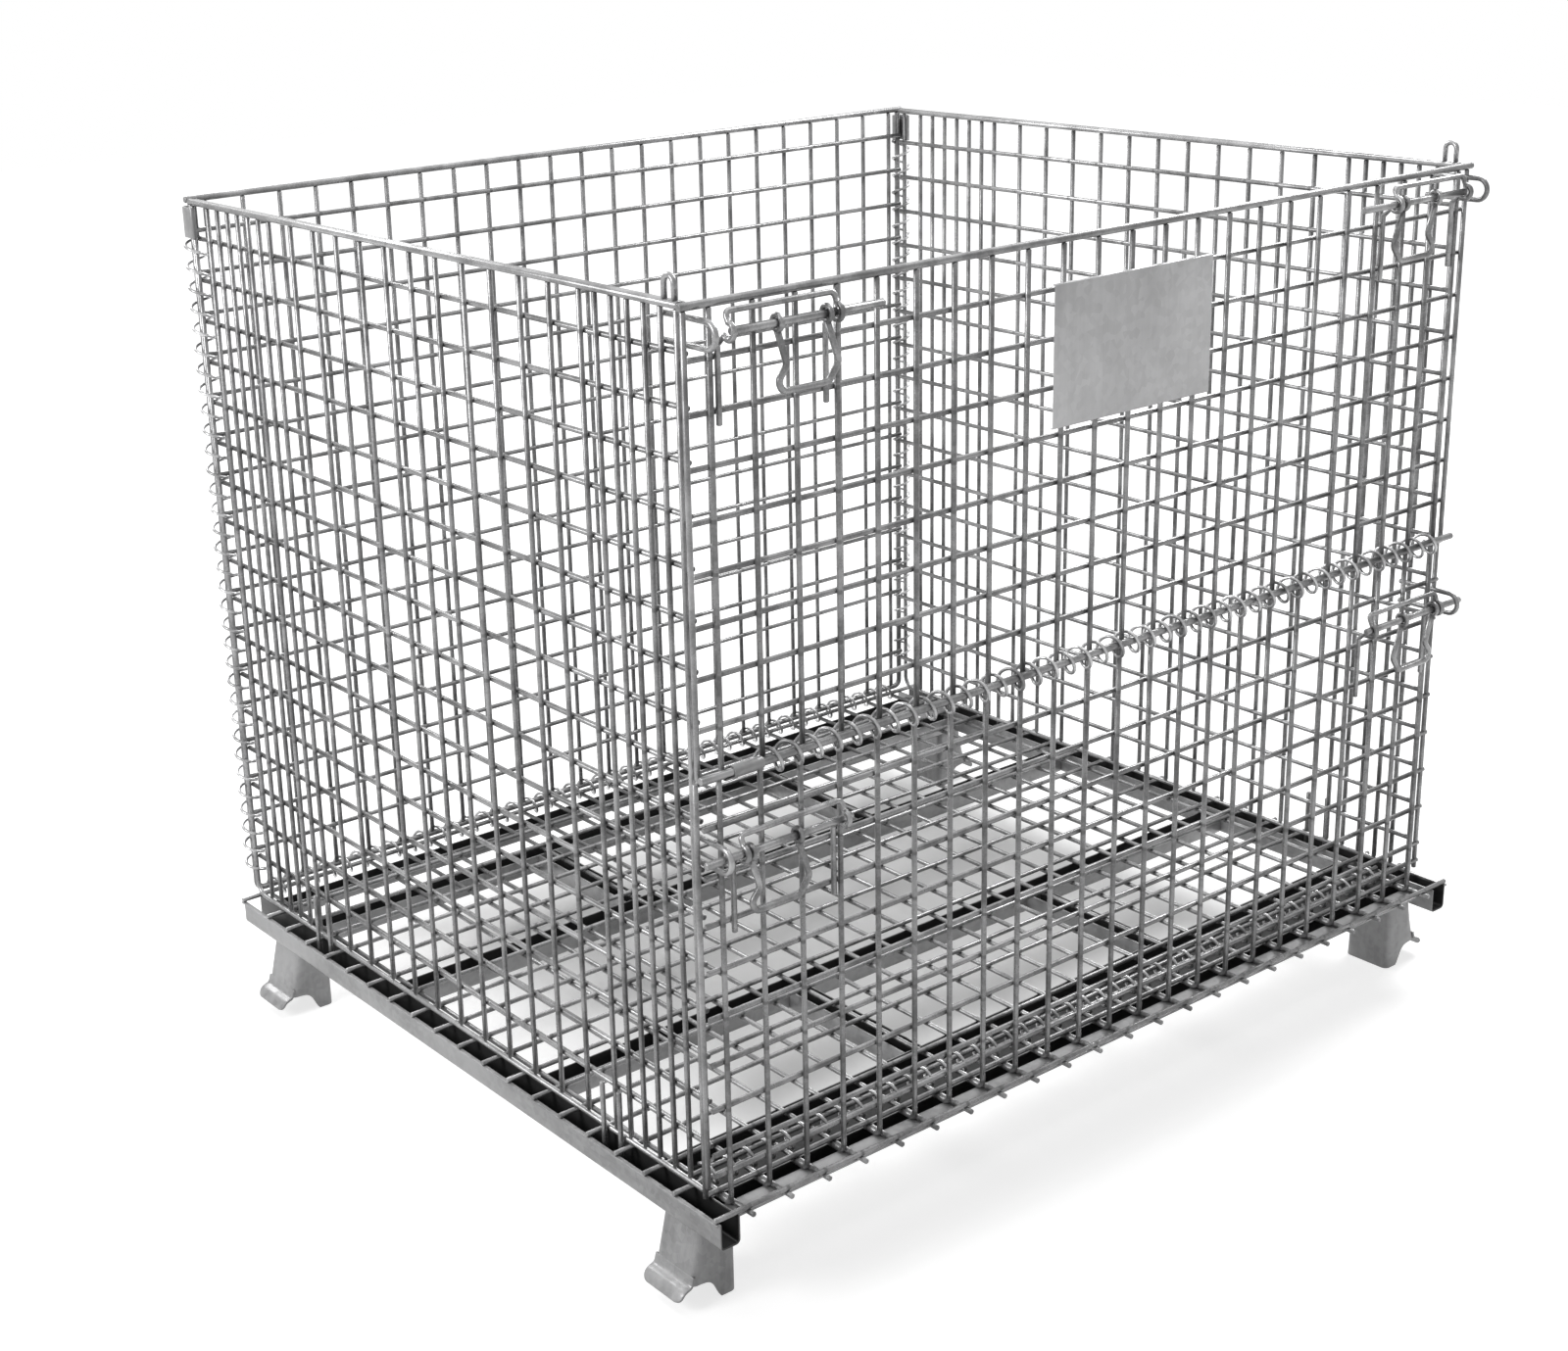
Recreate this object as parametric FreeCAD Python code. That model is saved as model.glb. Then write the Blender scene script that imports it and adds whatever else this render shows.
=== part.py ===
"""Collapsible wire mesh container with a half-drop gate, drawn in millimetres.

X runs to the right along the gate side, Y goes back from the gate, Z is up.
The floor is z = 0 and the origin is the centre of the base.
Wires are drawn as flat-sided bars, so that crossing wires lie flat to flat.
"""
import math
import os

import FreeCAD
import Part

os.makedirs("parts", exist_ok=True)
V = FreeCAD.Vector

# ---- driving dimensions -------------------------------------------------
WIDTH = 1206.5            # over the base rails, along the gate side
DEPTH = 1005.8            # length of the base rails
OVERALL_HEIGHT = 1066.8   # floor to the top of the stacking loops
MESH = 50.8               # wire spacing of every panel
WIRE = 6.0                # mesh wire
ROD = 8.0                 # rim and hinge rods, bolts
SHEET = 2.5               # rails and channels
FOOT_SHEET = 3.0
CLEAR = 0.6               # running clearance round a bolt or hinge rod
WIRE_SIDES = 6
ROD_SIDES = 8

FOOT_HEIGHT = 88.0
RAIL_HEIGHT = 32.0
RAIL_WIDTH = 30.0
RAIL_FLANGE = 4.0

UPPER_GATE_HEIGHT = 451.0  # hinge rod to top rod of the drop gate
RIM_BELOW_LOOPS = 28.8     # side rim rod below the top of the stacking loops
END_GAP = 19.05            # rail's outer edge to the gate's end rods
MESH_MARGIN_X = 88.0       # least width of the base outside the first and last wires
MESH_MARGIN_Y = 140.0      # the same along the depth

FRONT_WIRES = int((WIDTH - MESH_MARGIN_X) / MESH) + 1
DEPTH_WIRES = int((DEPTH - MESH_MARGIN_Y) / MESH) + 1

# ---- base and floor mat -----------------------------------------------------
RAIL_TOP = FOOT_HEIGHT + RAIL_HEIGHT
MAT_LONG_Z = RAIL_TOP - WIRE / 2
MAT_CROSS_Z = RAIL_TOP + WIRE / 2
MAT_TOP = RAIL_TOP + WIRE
CHANNEL_TOP = RAIL_TOP - WIRE
RAIL_OUT = WIDTH / 2
RAIL_IN = RAIL_OUT - RAIL_WIDTH
TIP_OVERHANG = 5.0
MAT_FRONT_TIP = -DEPTH / 2 - TIP_OVERHANG
MAT_REAR_TIP = DEPTH / 2
EDGE_WIRE_INSET = 4.0
FIRST_X = (FRONT_WIRES - 1) / 2 * MESH     # outermost wire across the width
FIRST_Y = (DEPTH_WIRES - 1) / 2 * MESH     # outermost cross wire of the mat

# ---- side and back panels ----------------------------------------------------
GATE_HALF = RAIL_OUT - END_GAP             # end rods of the gates
PANEL_SETBACK = 7.2                        # side panels stand inside the gate's ends
SIDE_FACE = GATE_HALF - PANEL_SETBACK      # where the two wire layers of a side meet
SIDE_WIRE_X = SIDE_FACE + WIRE / 2
SIDE_ROW_X = SIDE_FACE - WIRE / 2
SIDE_ROD_X = SIDE_FACE + ROD / 2
SIDE_FRONT_Y = -FIRST_Y - MESH / 2
SIDE_REAR_Y = DEPTH / 2 - 9.9
SIDE_TOP_Z = OVERALL_HEIGHT - RIM_BELOW_LOOPS
SIDE_BOTTOM_Z = MAT_TOP + ROD / 2
SIDE_ROW_TOP = SIDE_TOP_Z - 45.0
ROW_MARGIN = 40.0                          # least height from a bottom rod to a row
SIDE_ROWS = int((SIDE_ROW_TOP - SIDE_BOTTOM_Z - ROW_MARGIN) / MESH) + 1

BACK_FACE = SIDE_REAR_Y + ROD              # where the two wire layers of the back meet
BACK_WIRE_Y = BACK_FACE + WIRE / 2
BACK_ROW_Y = BACK_FACE - WIRE / 2
BACK_ROD_Y = BACK_FACE + ROD / 2
BACK_ROD_X = SIDE_FACE
BACK_TOP_Z = SIDE_TOP_Z + 2.0
BACK_ROW_TOP = SIDE_ROW_TOP + 10.0
BACK_ROWS = int((BACK_ROW_TOP - SIDE_BOTTOM_Z - ROW_MARGIN) / MESH) + 1

# ---- the two halves of the front -----------------------------------------------
UPPER_WIRE_Y = SIDE_FRONT_Y - 17.8         # upper gate, upright wires
UPPER_ROW_Y = UPPER_WIRE_Y + WIRE
UPPER_ROD_Y = UPPER_WIRE_Y - WIRE / 2 + ROD / 2
UPPER_TOP_Z = SIDE_TOP_Z + 1.0
UPPER_HINGE_Y = UPPER_WIRE_Y - WIRE / 2 - ROD / 2
UPPER_HINGE_Z = UPPER_TOP_Z - UPPER_GATE_HEIGHT
HINGE_MARGIN = 30.0                        # least height from the hinge rod to a row
UPPER_ROWS = int((UPPER_GATE_HEIGHT - HINGE_MARGIN) / MESH)
LOWER_WIRE_Y = UPPER_WIRE_Y - 2.0          # lower gate, upright wires
LOWER_ROW_Y = LOWER_WIRE_Y + WIRE
LOWER_ROD_Y = LOWER_WIRE_Y + WIRE / 2 + ROD / 2
LOWER_TOP_Z = UPPER_HINGE_Z - 7.0
LOWER_ROW_TOP = LOWER_TOP_Z - 50.0
LOWER_SILL_Z = MAT_TOP + 25.0
SILL_MARGIN = 20.0
LOWER_ROWS = int((LOWER_ROW_TOP - LOWER_SILL_Z - SILL_MARGIN) / MESH) + 1
LEG_Z = MAT_TOP + WIRE / 2
LEG_END_Y = -FIRST_Y - 7.2
FOOT_WIRE_Y = -FIRST_Y - 12.2

# ---- latches ----------------------------------------------------------------------
WIRE_CORNER = WIRE / 2 / math.cos(math.pi / WIRE_SIDES)
KEEPER_GAP = 28.0                         # between the arms of a keeper
KEEPER_X = SIDE_ROW_X
KEEPER_ARM = 35.2                         # arm behind the gate's face, welded to the side
LATCH_ROWS = 10                           # mesh steps from the upper to the lower latch
UPPER_BOLT_Z = SIDE_ROW_TOP + 2 * WIRE_CORNER + KEEPER_GAP / 2
LOWER_BOLT_Z = UPPER_BOLT_Z - LATCH_ROWS * MESH
BOLT_STANDOFF = 17.0                      # bolt axis in front of the gate wires
BOLT_TIP_X = GATE_HALF + 29.8             # tip of an engaged bolt
BOLT_THROW = BOLT_TIP_X - KEEPER_X + WIRE / 2 + 5.0
EYE_OUT_X = FIRST_X - 9.8                 # the two eyes of a latch bracket
EYE_IN_X = FIRST_X - 3 * MESH + 14.6
BOLT_TAIL = 11.0
BOLT_LENGTH = BOLT_TIP_X - EYE_IN_X + BOLT_TAIL
BRACKET_LEG = 89.0
BRACKET_RISE = 18.0
HANDLE_TOP_X = EYE_OUT_X - 8.0            # outer collar of an engaged handle
HANDLE_WIDTH = 60.0
HANDLE_DROP = 65.0
COLLAR_LENGTH = 8.0
COLLAR_WALL = 1.8

PLATE_WIDTH = 240.0
PLATE_HEIGHT = 150.0
PLATE_TOP_Z = UPPER_TOP_Z - 43.0
PLATE_SHEET = 1.5
PLATE_LIP = 4.0

# ---- coils -----------------------------------------------------------------------
COIL_WIRE = 0.9                           # inside radius of the coil's wire section
COIL_PITCH = MESH / 2
COIL_STEPS = 6

# ---- feet ------------------------------------------------------------------------
FOOT_LENGTH = 56.0
FOOT_IN_X = RAIL_OUT - 57.25              # upright inner wall
FOOT_TOP_WIDTH = 44.0
FOOT_FLARE = 15.0                         # outer skin's lean, top to bottom
SKIRT_RISE = 26.0                         # floor to the lower edge of the outer skin
LIP_REACH = 17.0
LIP_DROP = 13.0
FRONT_FOOT_Y = -DEPTH / 2 + 46.9
REAR_FOOT_Y = DEPTH / 2 - 120.9

SIDES = (("left", -1), ("right", 1))


# ---- helpers ---------------------------------------------------------------
def save(name, solids):
    """Write one node of the assembly as a STEP file."""
    shape = solids[0] if len(solids) == 1 else Part.makeCompound(solids)
    shape.exportStep("parts/" + name + ".step")


def solid_from(faces):
    """Close planar faces into one solid with outward faces."""
    shell = Part.Shell(faces)
    shell.sewShape()
    solid = Part.Solid(shell)
    if solid.Volume < 0:
        solid.reverse()
    return solid


def face_of(points):
    """One planar face through a closed ring of points."""
    return Part.Face(Part.makePolygon(list(points) + [points[0]]))


def section(centre, direction, flat, half, sides):
    """Ring of a flat-sided bar: one flat faces the vector `flat`."""
    axis = V(direction).normalize()
    u = V(flat) - axis * axis.dot(flat)
    u.normalize()
    w = axis.cross(u)
    radius = half / math.cos(math.pi / sides)
    ring = []
    for k in range(sides):
        a = math.pi / sides + 2 * math.pi * k / sides
        ring.append(centre + u * (radius * math.cos(a)) + w * (radius * math.sin(a)))
    return ring


def bar(path, flat, size=WIRE, sides=WIRE_SIDES):
    """A flat-sided bar along a path of points, mitred at its bends."""
    path = [V(*p) for p in path]
    ring = section(path[0], path[1] - path[0], V(*flat), size / 2, sides)
    faces = [face_of(ring)]
    for i in range(1, len(path)):
        d1 = (path[i] - path[i - 1]).normalize()
        if i < len(path) - 1:
            cut = d1 + (path[i + 1] - path[i]).normalize()
        else:
            cut = V(d1)
        cut.normalize()
        after = [q + d1 * ((path[i] - q).dot(cut) / d1.dot(cut)) for q in ring]
        for k in range(sides):
            n = (k + 1) % sides
            faces.append(face_of([ring[k], ring[n], after[n], after[k]]))
        ring = after
    faces.append(face_of(ring))
    return solid_from(faces)


def rounded(path, radius, steps=2):
    """Replace each corner of a path by a few chords of an arc."""
    path = [V(*p) for p in path]
    out = [path[0]]
    for a, b, c in zip(path, path[1:], path[2:]):
        to_a = (a - b).normalize()
        to_c = (c - b).normalize()
        half_angle = math.acos(max(-1.0, min(1.0, to_a.dot(to_c)))) / 2
        reach = radius / math.tan(half_angle)
        centre = b + (to_a + to_c).normalize() * (radius / math.sin(half_angle))
        start = b + to_a * reach - centre
        end = b + to_c * reach - centre
        turn = math.pi - 2 * half_angle
        for k in range(steps + 1):
            s = k / steps
            p = start * (math.sin((1 - s) * turn) / math.sin(turn))
            p += end * (math.sin(s * turn) / math.sin(turn))
            out.append(centre + p)
    out.append(path[-1])
    return [tuple(p) for p in out]


def extruded(points, vector):
    """A prism on a closed outline of 3D points."""
    return face_of([V(*p) for p in points]).extrude(V(*vector))


def block(x0, x1, y0, y1, z0, z1):
    """A box between two corners, in any order."""
    lo = V(min(x0, x1), min(y0, y1), min(z0, z1))
    return Part.makeBox(abs(x1 - x0), abs(y1 - y0), abs(z1 - z0), lo)


def mirrored(shape):
    """The same piece on the other side of the container."""
    return shape.mirror(V(0, 0, 0), V(1, 0, 0))


def side_of(sign, solids):
    """Pieces drawn at positive x, handed to one side."""
    return solids if sign > 0 else [mirrored(s) for s in solids]


def fused(solids):
    """One solid from overlapping sheets or bars."""
    shape = solids[0].multiFuse(solids[1:]).removeSplitter()
    return shape.Solids[0]


def front_places():
    """X of the wires across the width."""
    return [i * MESH - FIRST_X for i in range(FRONT_WIRES)]


def spring_coil(start, axis, out, centre_radius, turns, phase, hand=1):
    """A wire spring: rings stepped round a helix, triangular in section."""
    axis = V(*axis)
    out = V(*out)
    third = axis.cross(out)
    radius = centre_radius / math.cos(math.pi / COIL_STEPS)
    rings = []
    for i in range(int(turns * COIL_STEPS) + 1):
        a = hand * 2 * math.pi * i / COIL_STEPS + math.radians(phase)
        er = out * math.cos(a) + third * math.sin(a)
        c = V(*start) + axis * (COIL_PITCH * i / COIL_STEPS) + er * radius
        rings.append([c + er * (-COIL_WIRE) + axis * (COIL_WIRE * math.sqrt(3)),
                      c + er * (-COIL_WIRE) - axis * (COIL_WIRE * math.sqrt(3)),
                      c + er * (2 * COIL_WIRE)])
    faces = [face_of(rings[0]), face_of(rings[-1])]
    for a, b in zip(rings, rings[1:]):
        for k in range(3):
            n = (k + 1) % 3
            faces.append(face_of([a[k], a[n], b[n]]))
            faces.append(face_of([a[k], b[n], b[k]]))
    return solid_from(faces)


# ---- base --------------------------------------------------------------------
def base_rails():
    """Open-top side rails with a small outward flange."""
    wall = RAIL_OUT - RAIL_FLANGE
    y = -DEPTH / 2
    outline = [(RAIL_IN, y, FOOT_HEIGHT), (wall, y, FOOT_HEIGHT),
               (wall, y, RAIL_TOP - SHEET), (RAIL_OUT, y, RAIL_TOP - SHEET),
               (RAIL_OUT, y, RAIL_TOP), (wall - SHEET, y, RAIL_TOP),
               (wall - SHEET, y, FOOT_HEIGHT + SHEET),
               (RAIL_IN + SHEET, y, FOOT_HEIGHT + SHEET),
               (RAIL_IN + SHEET, y, RAIL_TOP), (RAIL_IN, y, RAIL_TOP)]
    rail = extruded(outline, (0, DEPTH, 0))
    for name, sign in SIDES:
        save(name + "_rail", side_of(sign, [rail]))


def channel(y_centre, width, depth, flange=0.0):
    """An open-top channel across the base, with a flange along its front if given."""
    y0 = y_centre - width / 2
    y1 = y_centre + width / 2
    z0 = CHANNEL_TOP - depth
    x = -RAIL_IN
    outline = [(x, y0, z0), (x, y1, z0), (x, y1, CHANNEL_TOP),
               (x, y1 - SHEET, CHANNEL_TOP), (x, y1 - SHEET, z0 + SHEET),
               (x, y0 + SHEET, z0 + SHEET), (x, y0 + SHEET, CHANNEL_TOP)]
    if flange:
        outline += [(x, y0 - flange, CHANNEL_TOP), (x, y0 - flange, CHANNEL_TOP - SHEET),
                    (x, y0, CHANNEL_TOP - SHEET)]
    else:
        outline.append((x, y0, CHANNEL_TOP))
    return extruded(outline, (2 * RAIL_IN, 0, 0))


CHANNEL_WIDTH = 28.0
CHANNEL_DEPTH = CHANNEL_TOP - FOOT_HEIGHT
EDGE_WIDTH = 24.0
EDGE_DEPTH = 20.0
FRONT_EDGE_Y = -FIRST_Y - 26.95
FRONT_EDGE_WIDTH = 19.5
FRONT_FLANGE = 25.5                       # flat strip under the gate's feet
FRONT_INNER_Y = -DEPTH / 2 + 128.9
FRONT_MIDDLE_Y = -144.0
REAR_MIDDLE_Y = 159.0
REAR_INNER_Y = DEPTH / 2 - 116.9
REAR_EDGE_Y = DEPTH / 2 - 27.9
CHANNELS = (("front_edge_channel", FRONT_EDGE_Y, FRONT_EDGE_WIDTH, EDGE_DEPTH, FRONT_FLANGE),
            ("front_inner_channel", FRONT_INNER_Y, CHANNEL_WIDTH, CHANNEL_DEPTH, 0.0),
            ("front_middle_channel", FRONT_MIDDLE_Y, CHANNEL_WIDTH, CHANNEL_DEPTH, 0.0),
            ("rear_middle_channel", REAR_MIDDLE_Y, CHANNEL_WIDTH, CHANNEL_DEPTH, 0.0),
            ("rear_inner_channel", REAR_INNER_Y, CHANNEL_WIDTH, CHANNEL_DEPTH, 0.0),
            ("rear_edge_channel", REAR_EDGE_Y, EDGE_WIDTH, EDGE_DEPTH, 0.0))
BRACE_X = 4 * MESH


def base_channels():
    """Six crosswise channels, and short lengthwise ones in two bays."""
    for name, y, width, depth, flange in CHANNELS:
        save(name, [channel(y, width, depth, flange)])
    braces = []
    places = [c[1] for c in CHANNELS]
    half = CHANNEL_WIDTH / 2
    for y0, y1 in ((places[1] + half, places[2] - half),
                   (places[3] + half, places[4] - half)):
        for x in (-BRACE_X, BRACE_X):
            outline = [(x - half, y0, FOOT_HEIGHT), (x + half, y0, FOOT_HEIGHT),
                       (x + half, y0, CHANNEL_TOP), (x + half - SHEET, y0, CHANNEL_TOP),
                       (x + half - SHEET, y0, FOOT_HEIGHT + SHEET),
                       (x - half + SHEET, y0, FOOT_HEIGHT + SHEET),
                       (x - half + SHEET, y0, CHANNEL_TOP), (x - half, y0, CHANNEL_TOP)]
            braces.append(extruded(outline, (0, y1 - y0, 0)))
    save("lengthwise_braces", braces)


def foot(y0):
    """A pressed foot: flared shell, open below, with an outward lip."""
    y1 = y0 + FOOT_LENGTH
    t = FOOT_SHEET
    top = FOOT_HEIGHT
    x = FOOT_IN_X
    shoulder = x + FOOT_TOP_WIDTH
    skirt = shoulder + FOOT_FLARE
    low = SKIRT_RISE
    # outline of the end walls: upright inside, arched up to the flared outer skin
    end = [(x, 0), (x + 20, 0), (x + 24, 0.25 * low), (x + 29, 0.7 * low),
           (x + 37, low - 2), (skirt, low), (shoulder, top), (x, top)]
    sheets = []
    for y in (y0, y1 - t):
        sheets.append(extruded([(px, y, pz) for px, pz in end], (0, t, 0)))
    length = (0, FOOT_LENGTH, 0)
    sheets.append(block(x, x + t, y0, y1, 0, top))
    sheets.append(block(x, shoulder, y0, y1, top - t, top))
    skin = [(shoulder, top), (skirt, low), (skirt - t, low - 0.3), (shoulder - t, top)]
    sheets.append(extruded([(px, y0, pz) for px, pz in skin], length))
    lip = [(skirt, low), (skirt + LIP_REACH, low - LIP_DROP),
           (skirt + LIP_REACH - 0.6 * t, low - LIP_DROP - 0.8 * t),
           (skirt - t, low - 1.6), (skirt - t, low - 0.3)]
    sheets.append(extruded([(px, y0, pz) for px, pz in lip], length))
    return fused(sheets)


def feet():
    """Four feet under the rail ends."""
    for place, y0 in (("front", FRONT_FOOT_Y), ("rear", REAR_FOOT_Y)):
        shape = foot(y0)
        for name, sign in SIDES:
            save(name + "_" + place + "_foot", side_of(sign, [shape]))


def floor_mat():
    """Floor mesh: long wires below, cross wires resting on the rails."""
    cross = []
    for j in range(DEPTH_WIRES):
        y = (j - (DEPTH_WIRES - 1) / 2) * MESH
        cross.append(bar([(-RAIL_OUT, y, MAT_CROSS_Z), (RAIL_OUT, y, MAT_CROSS_Z)],
                         (0, 0, 1)))
    save("floor_cross_wires", cross)
    edges = []
    for y in (-DEPTH / 2 + EDGE_WIRE_INSET, DEPTH / 2 - EDGE_WIRE_INSET):
        edges.append(bar([(-RAIL_OUT, y, MAT_CROSS_Z), (RAIL_OUT, y, MAT_CROSS_Z)],
                         (0, 0, 1)))
    save("floor_edge_wires", edges)
    long_wires = []
    for x in front_places():
        long_wires.append(bar([(x, MAT_FRONT_TIP, MAT_LONG_Z),
                               (x, MAT_REAR_TIP, MAT_LONG_Z)], (0, 0, 1)))
    save("floor_long_wires", long_wires)


STUD_TOP = RAIL_TOP + 67.0
STUD_Y = 292.0
STUD_GAP = 30.0


def rail_studs():
    """Pairs of upright studs standing in the rails beside the side panels."""
    x = SIDE_ROD_X + ROD / 2 + WIRE / 2
    studs = []
    for sign in (-1, 1):
        for end in (-1, 1):
            for y in (STUD_Y, STUD_Y + STUD_GAP):
                studs.append(bar([(sign * x, end * y, FOOT_HEIGHT + SHEET),
                                  (sign * x, end * y, STUD_TOP)], (1, 0, 0)))
    save("rail_studs", studs)


# ---- side panels ---------------------------------------------------------------
STIFFENERS = 3             # extra uprights between the wires near each end
TOP_OVERHANG = 7.0


def side_panels():
    """Left and right panels: uprights outside, horizontals inside."""
    z0 = SIDE_BOTTOM_Z + ROD / 2
    z1 = SIDE_TOP_Z - ROD / 2
    uprights = []
    places = [SIDE_FRONT_Y + j * MESH for j in range(1, DEPTH_WIRES + 1)]
    for j in range(STIFFENERS):
        places.append(SIDE_FRONT_Y + (j + 0.5) * MESH)
        places.append(-SIDE_FRONT_Y - (j + 0.5) * MESH)
    for y in sorted(places):
        uprights.append(bar([(SIDE_WIRE_X, y, z0), (SIDE_WIRE_X, y, z1)], (1, 0, 0)))
    rows = []
    for k in range(SIDE_ROWS):
        z = SIDE_ROW_TOP - k * MESH
        rows.append(bar([(SIDE_ROW_X, SIDE_FRONT_Y - ROD / 2, z),
                         (SIDE_ROW_X, SIDE_REAR_Y + WIRE / 2, z)], (1, 0, 0)))
    rim = [bar(rounded([(SIDE_ROD_X, SIDE_FRONT_Y, z1), (SIDE_ROD_X, SIDE_FRONT_Y, SIDE_BOTTOM_Z),
                        (SIDE_ROD_X, SIDE_REAR_Y, SIDE_BOTTOM_Z),
                        (SIDE_ROD_X, SIDE_REAR_Y, z1)], 18.0, 3),
               (1, 0, 0), ROD, ROD_SIDES),
           bar([(SIDE_ROD_X, SIDE_FRONT_Y - ROD / 2, SIDE_TOP_Z),
                (SIDE_ROD_X, SIDE_REAR_Y + TOP_OVERHANG, SIDE_TOP_Z)],
               (1, 0, 0), ROD, ROD_SIDES)]
    for name, sign in SIDES:
        save(name + "_side_uprights", side_of(sign, uprights))
        save(name + "_side_rows", side_of(sign, rows))
        save(name + "_side_rim", side_of(sign, rim))


def keepers():
    """U loops on the side panels that take the bolts, two on each side."""
    radius = KEEPER_GAP / 2
    for name, sign in SIDES:
        loops = []
        for bolt_z, wire_y in ((UPPER_BOLT_Z, UPPER_WIRE_Y), (LOWER_BOLT_Z, LOWER_WIRE_Y)):
            front = wire_y - BOLT_STANDOFF - ROD / 2
            back = SIDE_FRONT_Y + KEEPER_ARM
            path = [(KEEPER_X, back, bolt_z + radius)]
            for k in range(6):
                a = math.pi * (0.5 + k / 5)
                path.append((KEEPER_X, front + radius * math.cos(a),
                             bolt_z + radius * math.sin(a)))
            path.append((KEEPER_X, back, bolt_z - radius))
            loops.append(bar(path, (1, 0, 0)))
        save(name + "_keepers", side_of(sign, loops))


STACK_GAP = 15.0


def stacking_loops():
    """Upright loops on the front top corners that locate a stacked container."""
    x = SIDE_ROD_X
    base = SIDE_TOP_Z + ROD / 2
    radius = STACK_GAP / 2
    crown = OVERALL_HEIGHT - WIRE_CORNER / math.cos(math.pi / 8) - radius
    y = SIDE_FRONT_Y + 2.0 + radius
    path = [(x, y - radius, base)]
    for k in range(5):
        a = math.pi * (1 - k / 4)
        path.append((x, y + radius * math.cos(a), crown + radius * math.sin(a)))
    path.append((x, y + radius, base))
    loop = bar(path, (1, 0, 0))
    save("stacking_loops", [mirrored(loop), loop])


# ---- back panel -----------------------------------------------------------------
def back_panel():
    """Back mesh with its rim, hinged by coils to the floor and the sides."""
    z0 = SIDE_BOTTOM_Z + ROD / 2
    z1 = BACK_TOP_Z - ROD / 2
    uprights = []
    for x in front_places():
        uprights.append(bar([(x, BACK_WIRE_Y, z0), (x, BACK_WIRE_Y, z1)], (0, 1, 0)))
    save("back_uprights", uprights)
    rows = []
    reach = BACK_ROD_X - 0.5
    for k in range(BACK_ROWS):
        z = BACK_ROW_TOP - k * MESH
        rows.append(bar([(-reach, BACK_ROW_Y, z), (reach, BACK_ROW_Y, z)], (0, 1, 0)))
    save("back_rows", rows)
    rim = [bar(rounded([(-BACK_ROD_X, BACK_ROD_Y, z1), (-BACK_ROD_X, BACK_ROD_Y, SIDE_BOTTOM_Z),
                        (BACK_ROD_X, BACK_ROD_Y, SIDE_BOTTOM_Z),
                        (BACK_ROD_X, BACK_ROD_Y, z1)], 10.0, 2),
               (0, 1, 0), ROD, ROD_SIDES),
           bar([(-BACK_ROD_X - 8, BACK_ROD_Y, BACK_TOP_Z),
                (BACK_ROD_X + 8, BACK_ROD_Y, BACK_TOP_Z)], (0, 1, 0), ROD, ROD_SIDES)]
    save("back_rim", rim)


CLIP_TOP = SIDE_TOP_Z - 6.0
CLIP_HEIGHT = 37.0


def corner_clips():
    """Folded sheets round the side and back rods at the rear top corners."""
    t = 1.5
    gap = 0.4
    x0 = BACK_ROD_X - ROD / 2 - gap
    x1 = SIDE_ROD_X + ROD / 2 + gap
    y0 = SIDE_REAR_Y - ROD / 2 - gap
    y1 = BACK_ROD_Y + ROD / 2 + gap
    z0 = CLIP_TOP - CLIP_HEIGHT
    lap = ROD / 2 + 4.0
    outline = [(x0 + lap, y0, z0), (x1, y0, z0), (x1, y1, z0), (x0, y1, z0),
               (x0, y1 - lap, z0), (x0 - t, y1 - lap, z0), (x0 - t, y1 + t, z0),
               (x1 + t, y1 + t, z0), (x1 + t, y0 - t, z0), (x0 + lap, y0 - t, z0)]
    clip = extruded(outline, (0, 0, CLIP_HEIGHT))
    save("corner_clips", [mirrored(clip), clip])


# ---- lower half of the front --------------------------------------------------------
def lower_gate():
    """Lower gate: L-footed uprights, rows, a bent frame rod and its foot wire."""
    uprights = []
    top = LOWER_TOP_Z + 2.0
    for x in front_places():
        path = rounded([(x, LOWER_WIRE_Y, top), (x, LOWER_WIRE_Y, LEG_Z),
                        (x, LEG_END_Y, LEG_Z)], 7.0, 1)
        uprights.append(bar(path, (0, 1, 0)))
    save("lower_gate_uprights", uprights)
    reach = GATE_HALF - ROD / 2
    rows = []
    heights = [LOWER_ROW_TOP - k * MESH for k in range(LOWER_ROWS)] + [LOWER_SILL_Z]
    for z in heights:
        rows.append(bar([(-reach, LOWER_ROW_Y, z), (reach, LOWER_ROW_Y, z)], (0, 1, 0)))
    save("lower_gate_rows", rows)
    foot_z = LOWER_SILL_Z - 10.0
    frame = rounded([(-GATE_HALF, LOWER_ROD_Y, foot_z), (-GATE_HALF, LOWER_ROD_Y, LOWER_TOP_Z),
                     (GATE_HALF, LOWER_ROD_Y, LOWER_TOP_Z), (GATE_HALF, LOWER_ROD_Y, foot_z)],
                    14.0, 3)
    save("lower_gate_frame", [bar(frame, (0, 1, 0), ROD, ROD_SIDES)])
    save("lower_gate_foot_wire", [bar([(-reach, FOOT_WIRE_Y, MAT_CROSS_Z),
                                       (reach, FOOT_WIRE_Y, MAT_CROSS_Z)], (0, 0, 1))])


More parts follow.
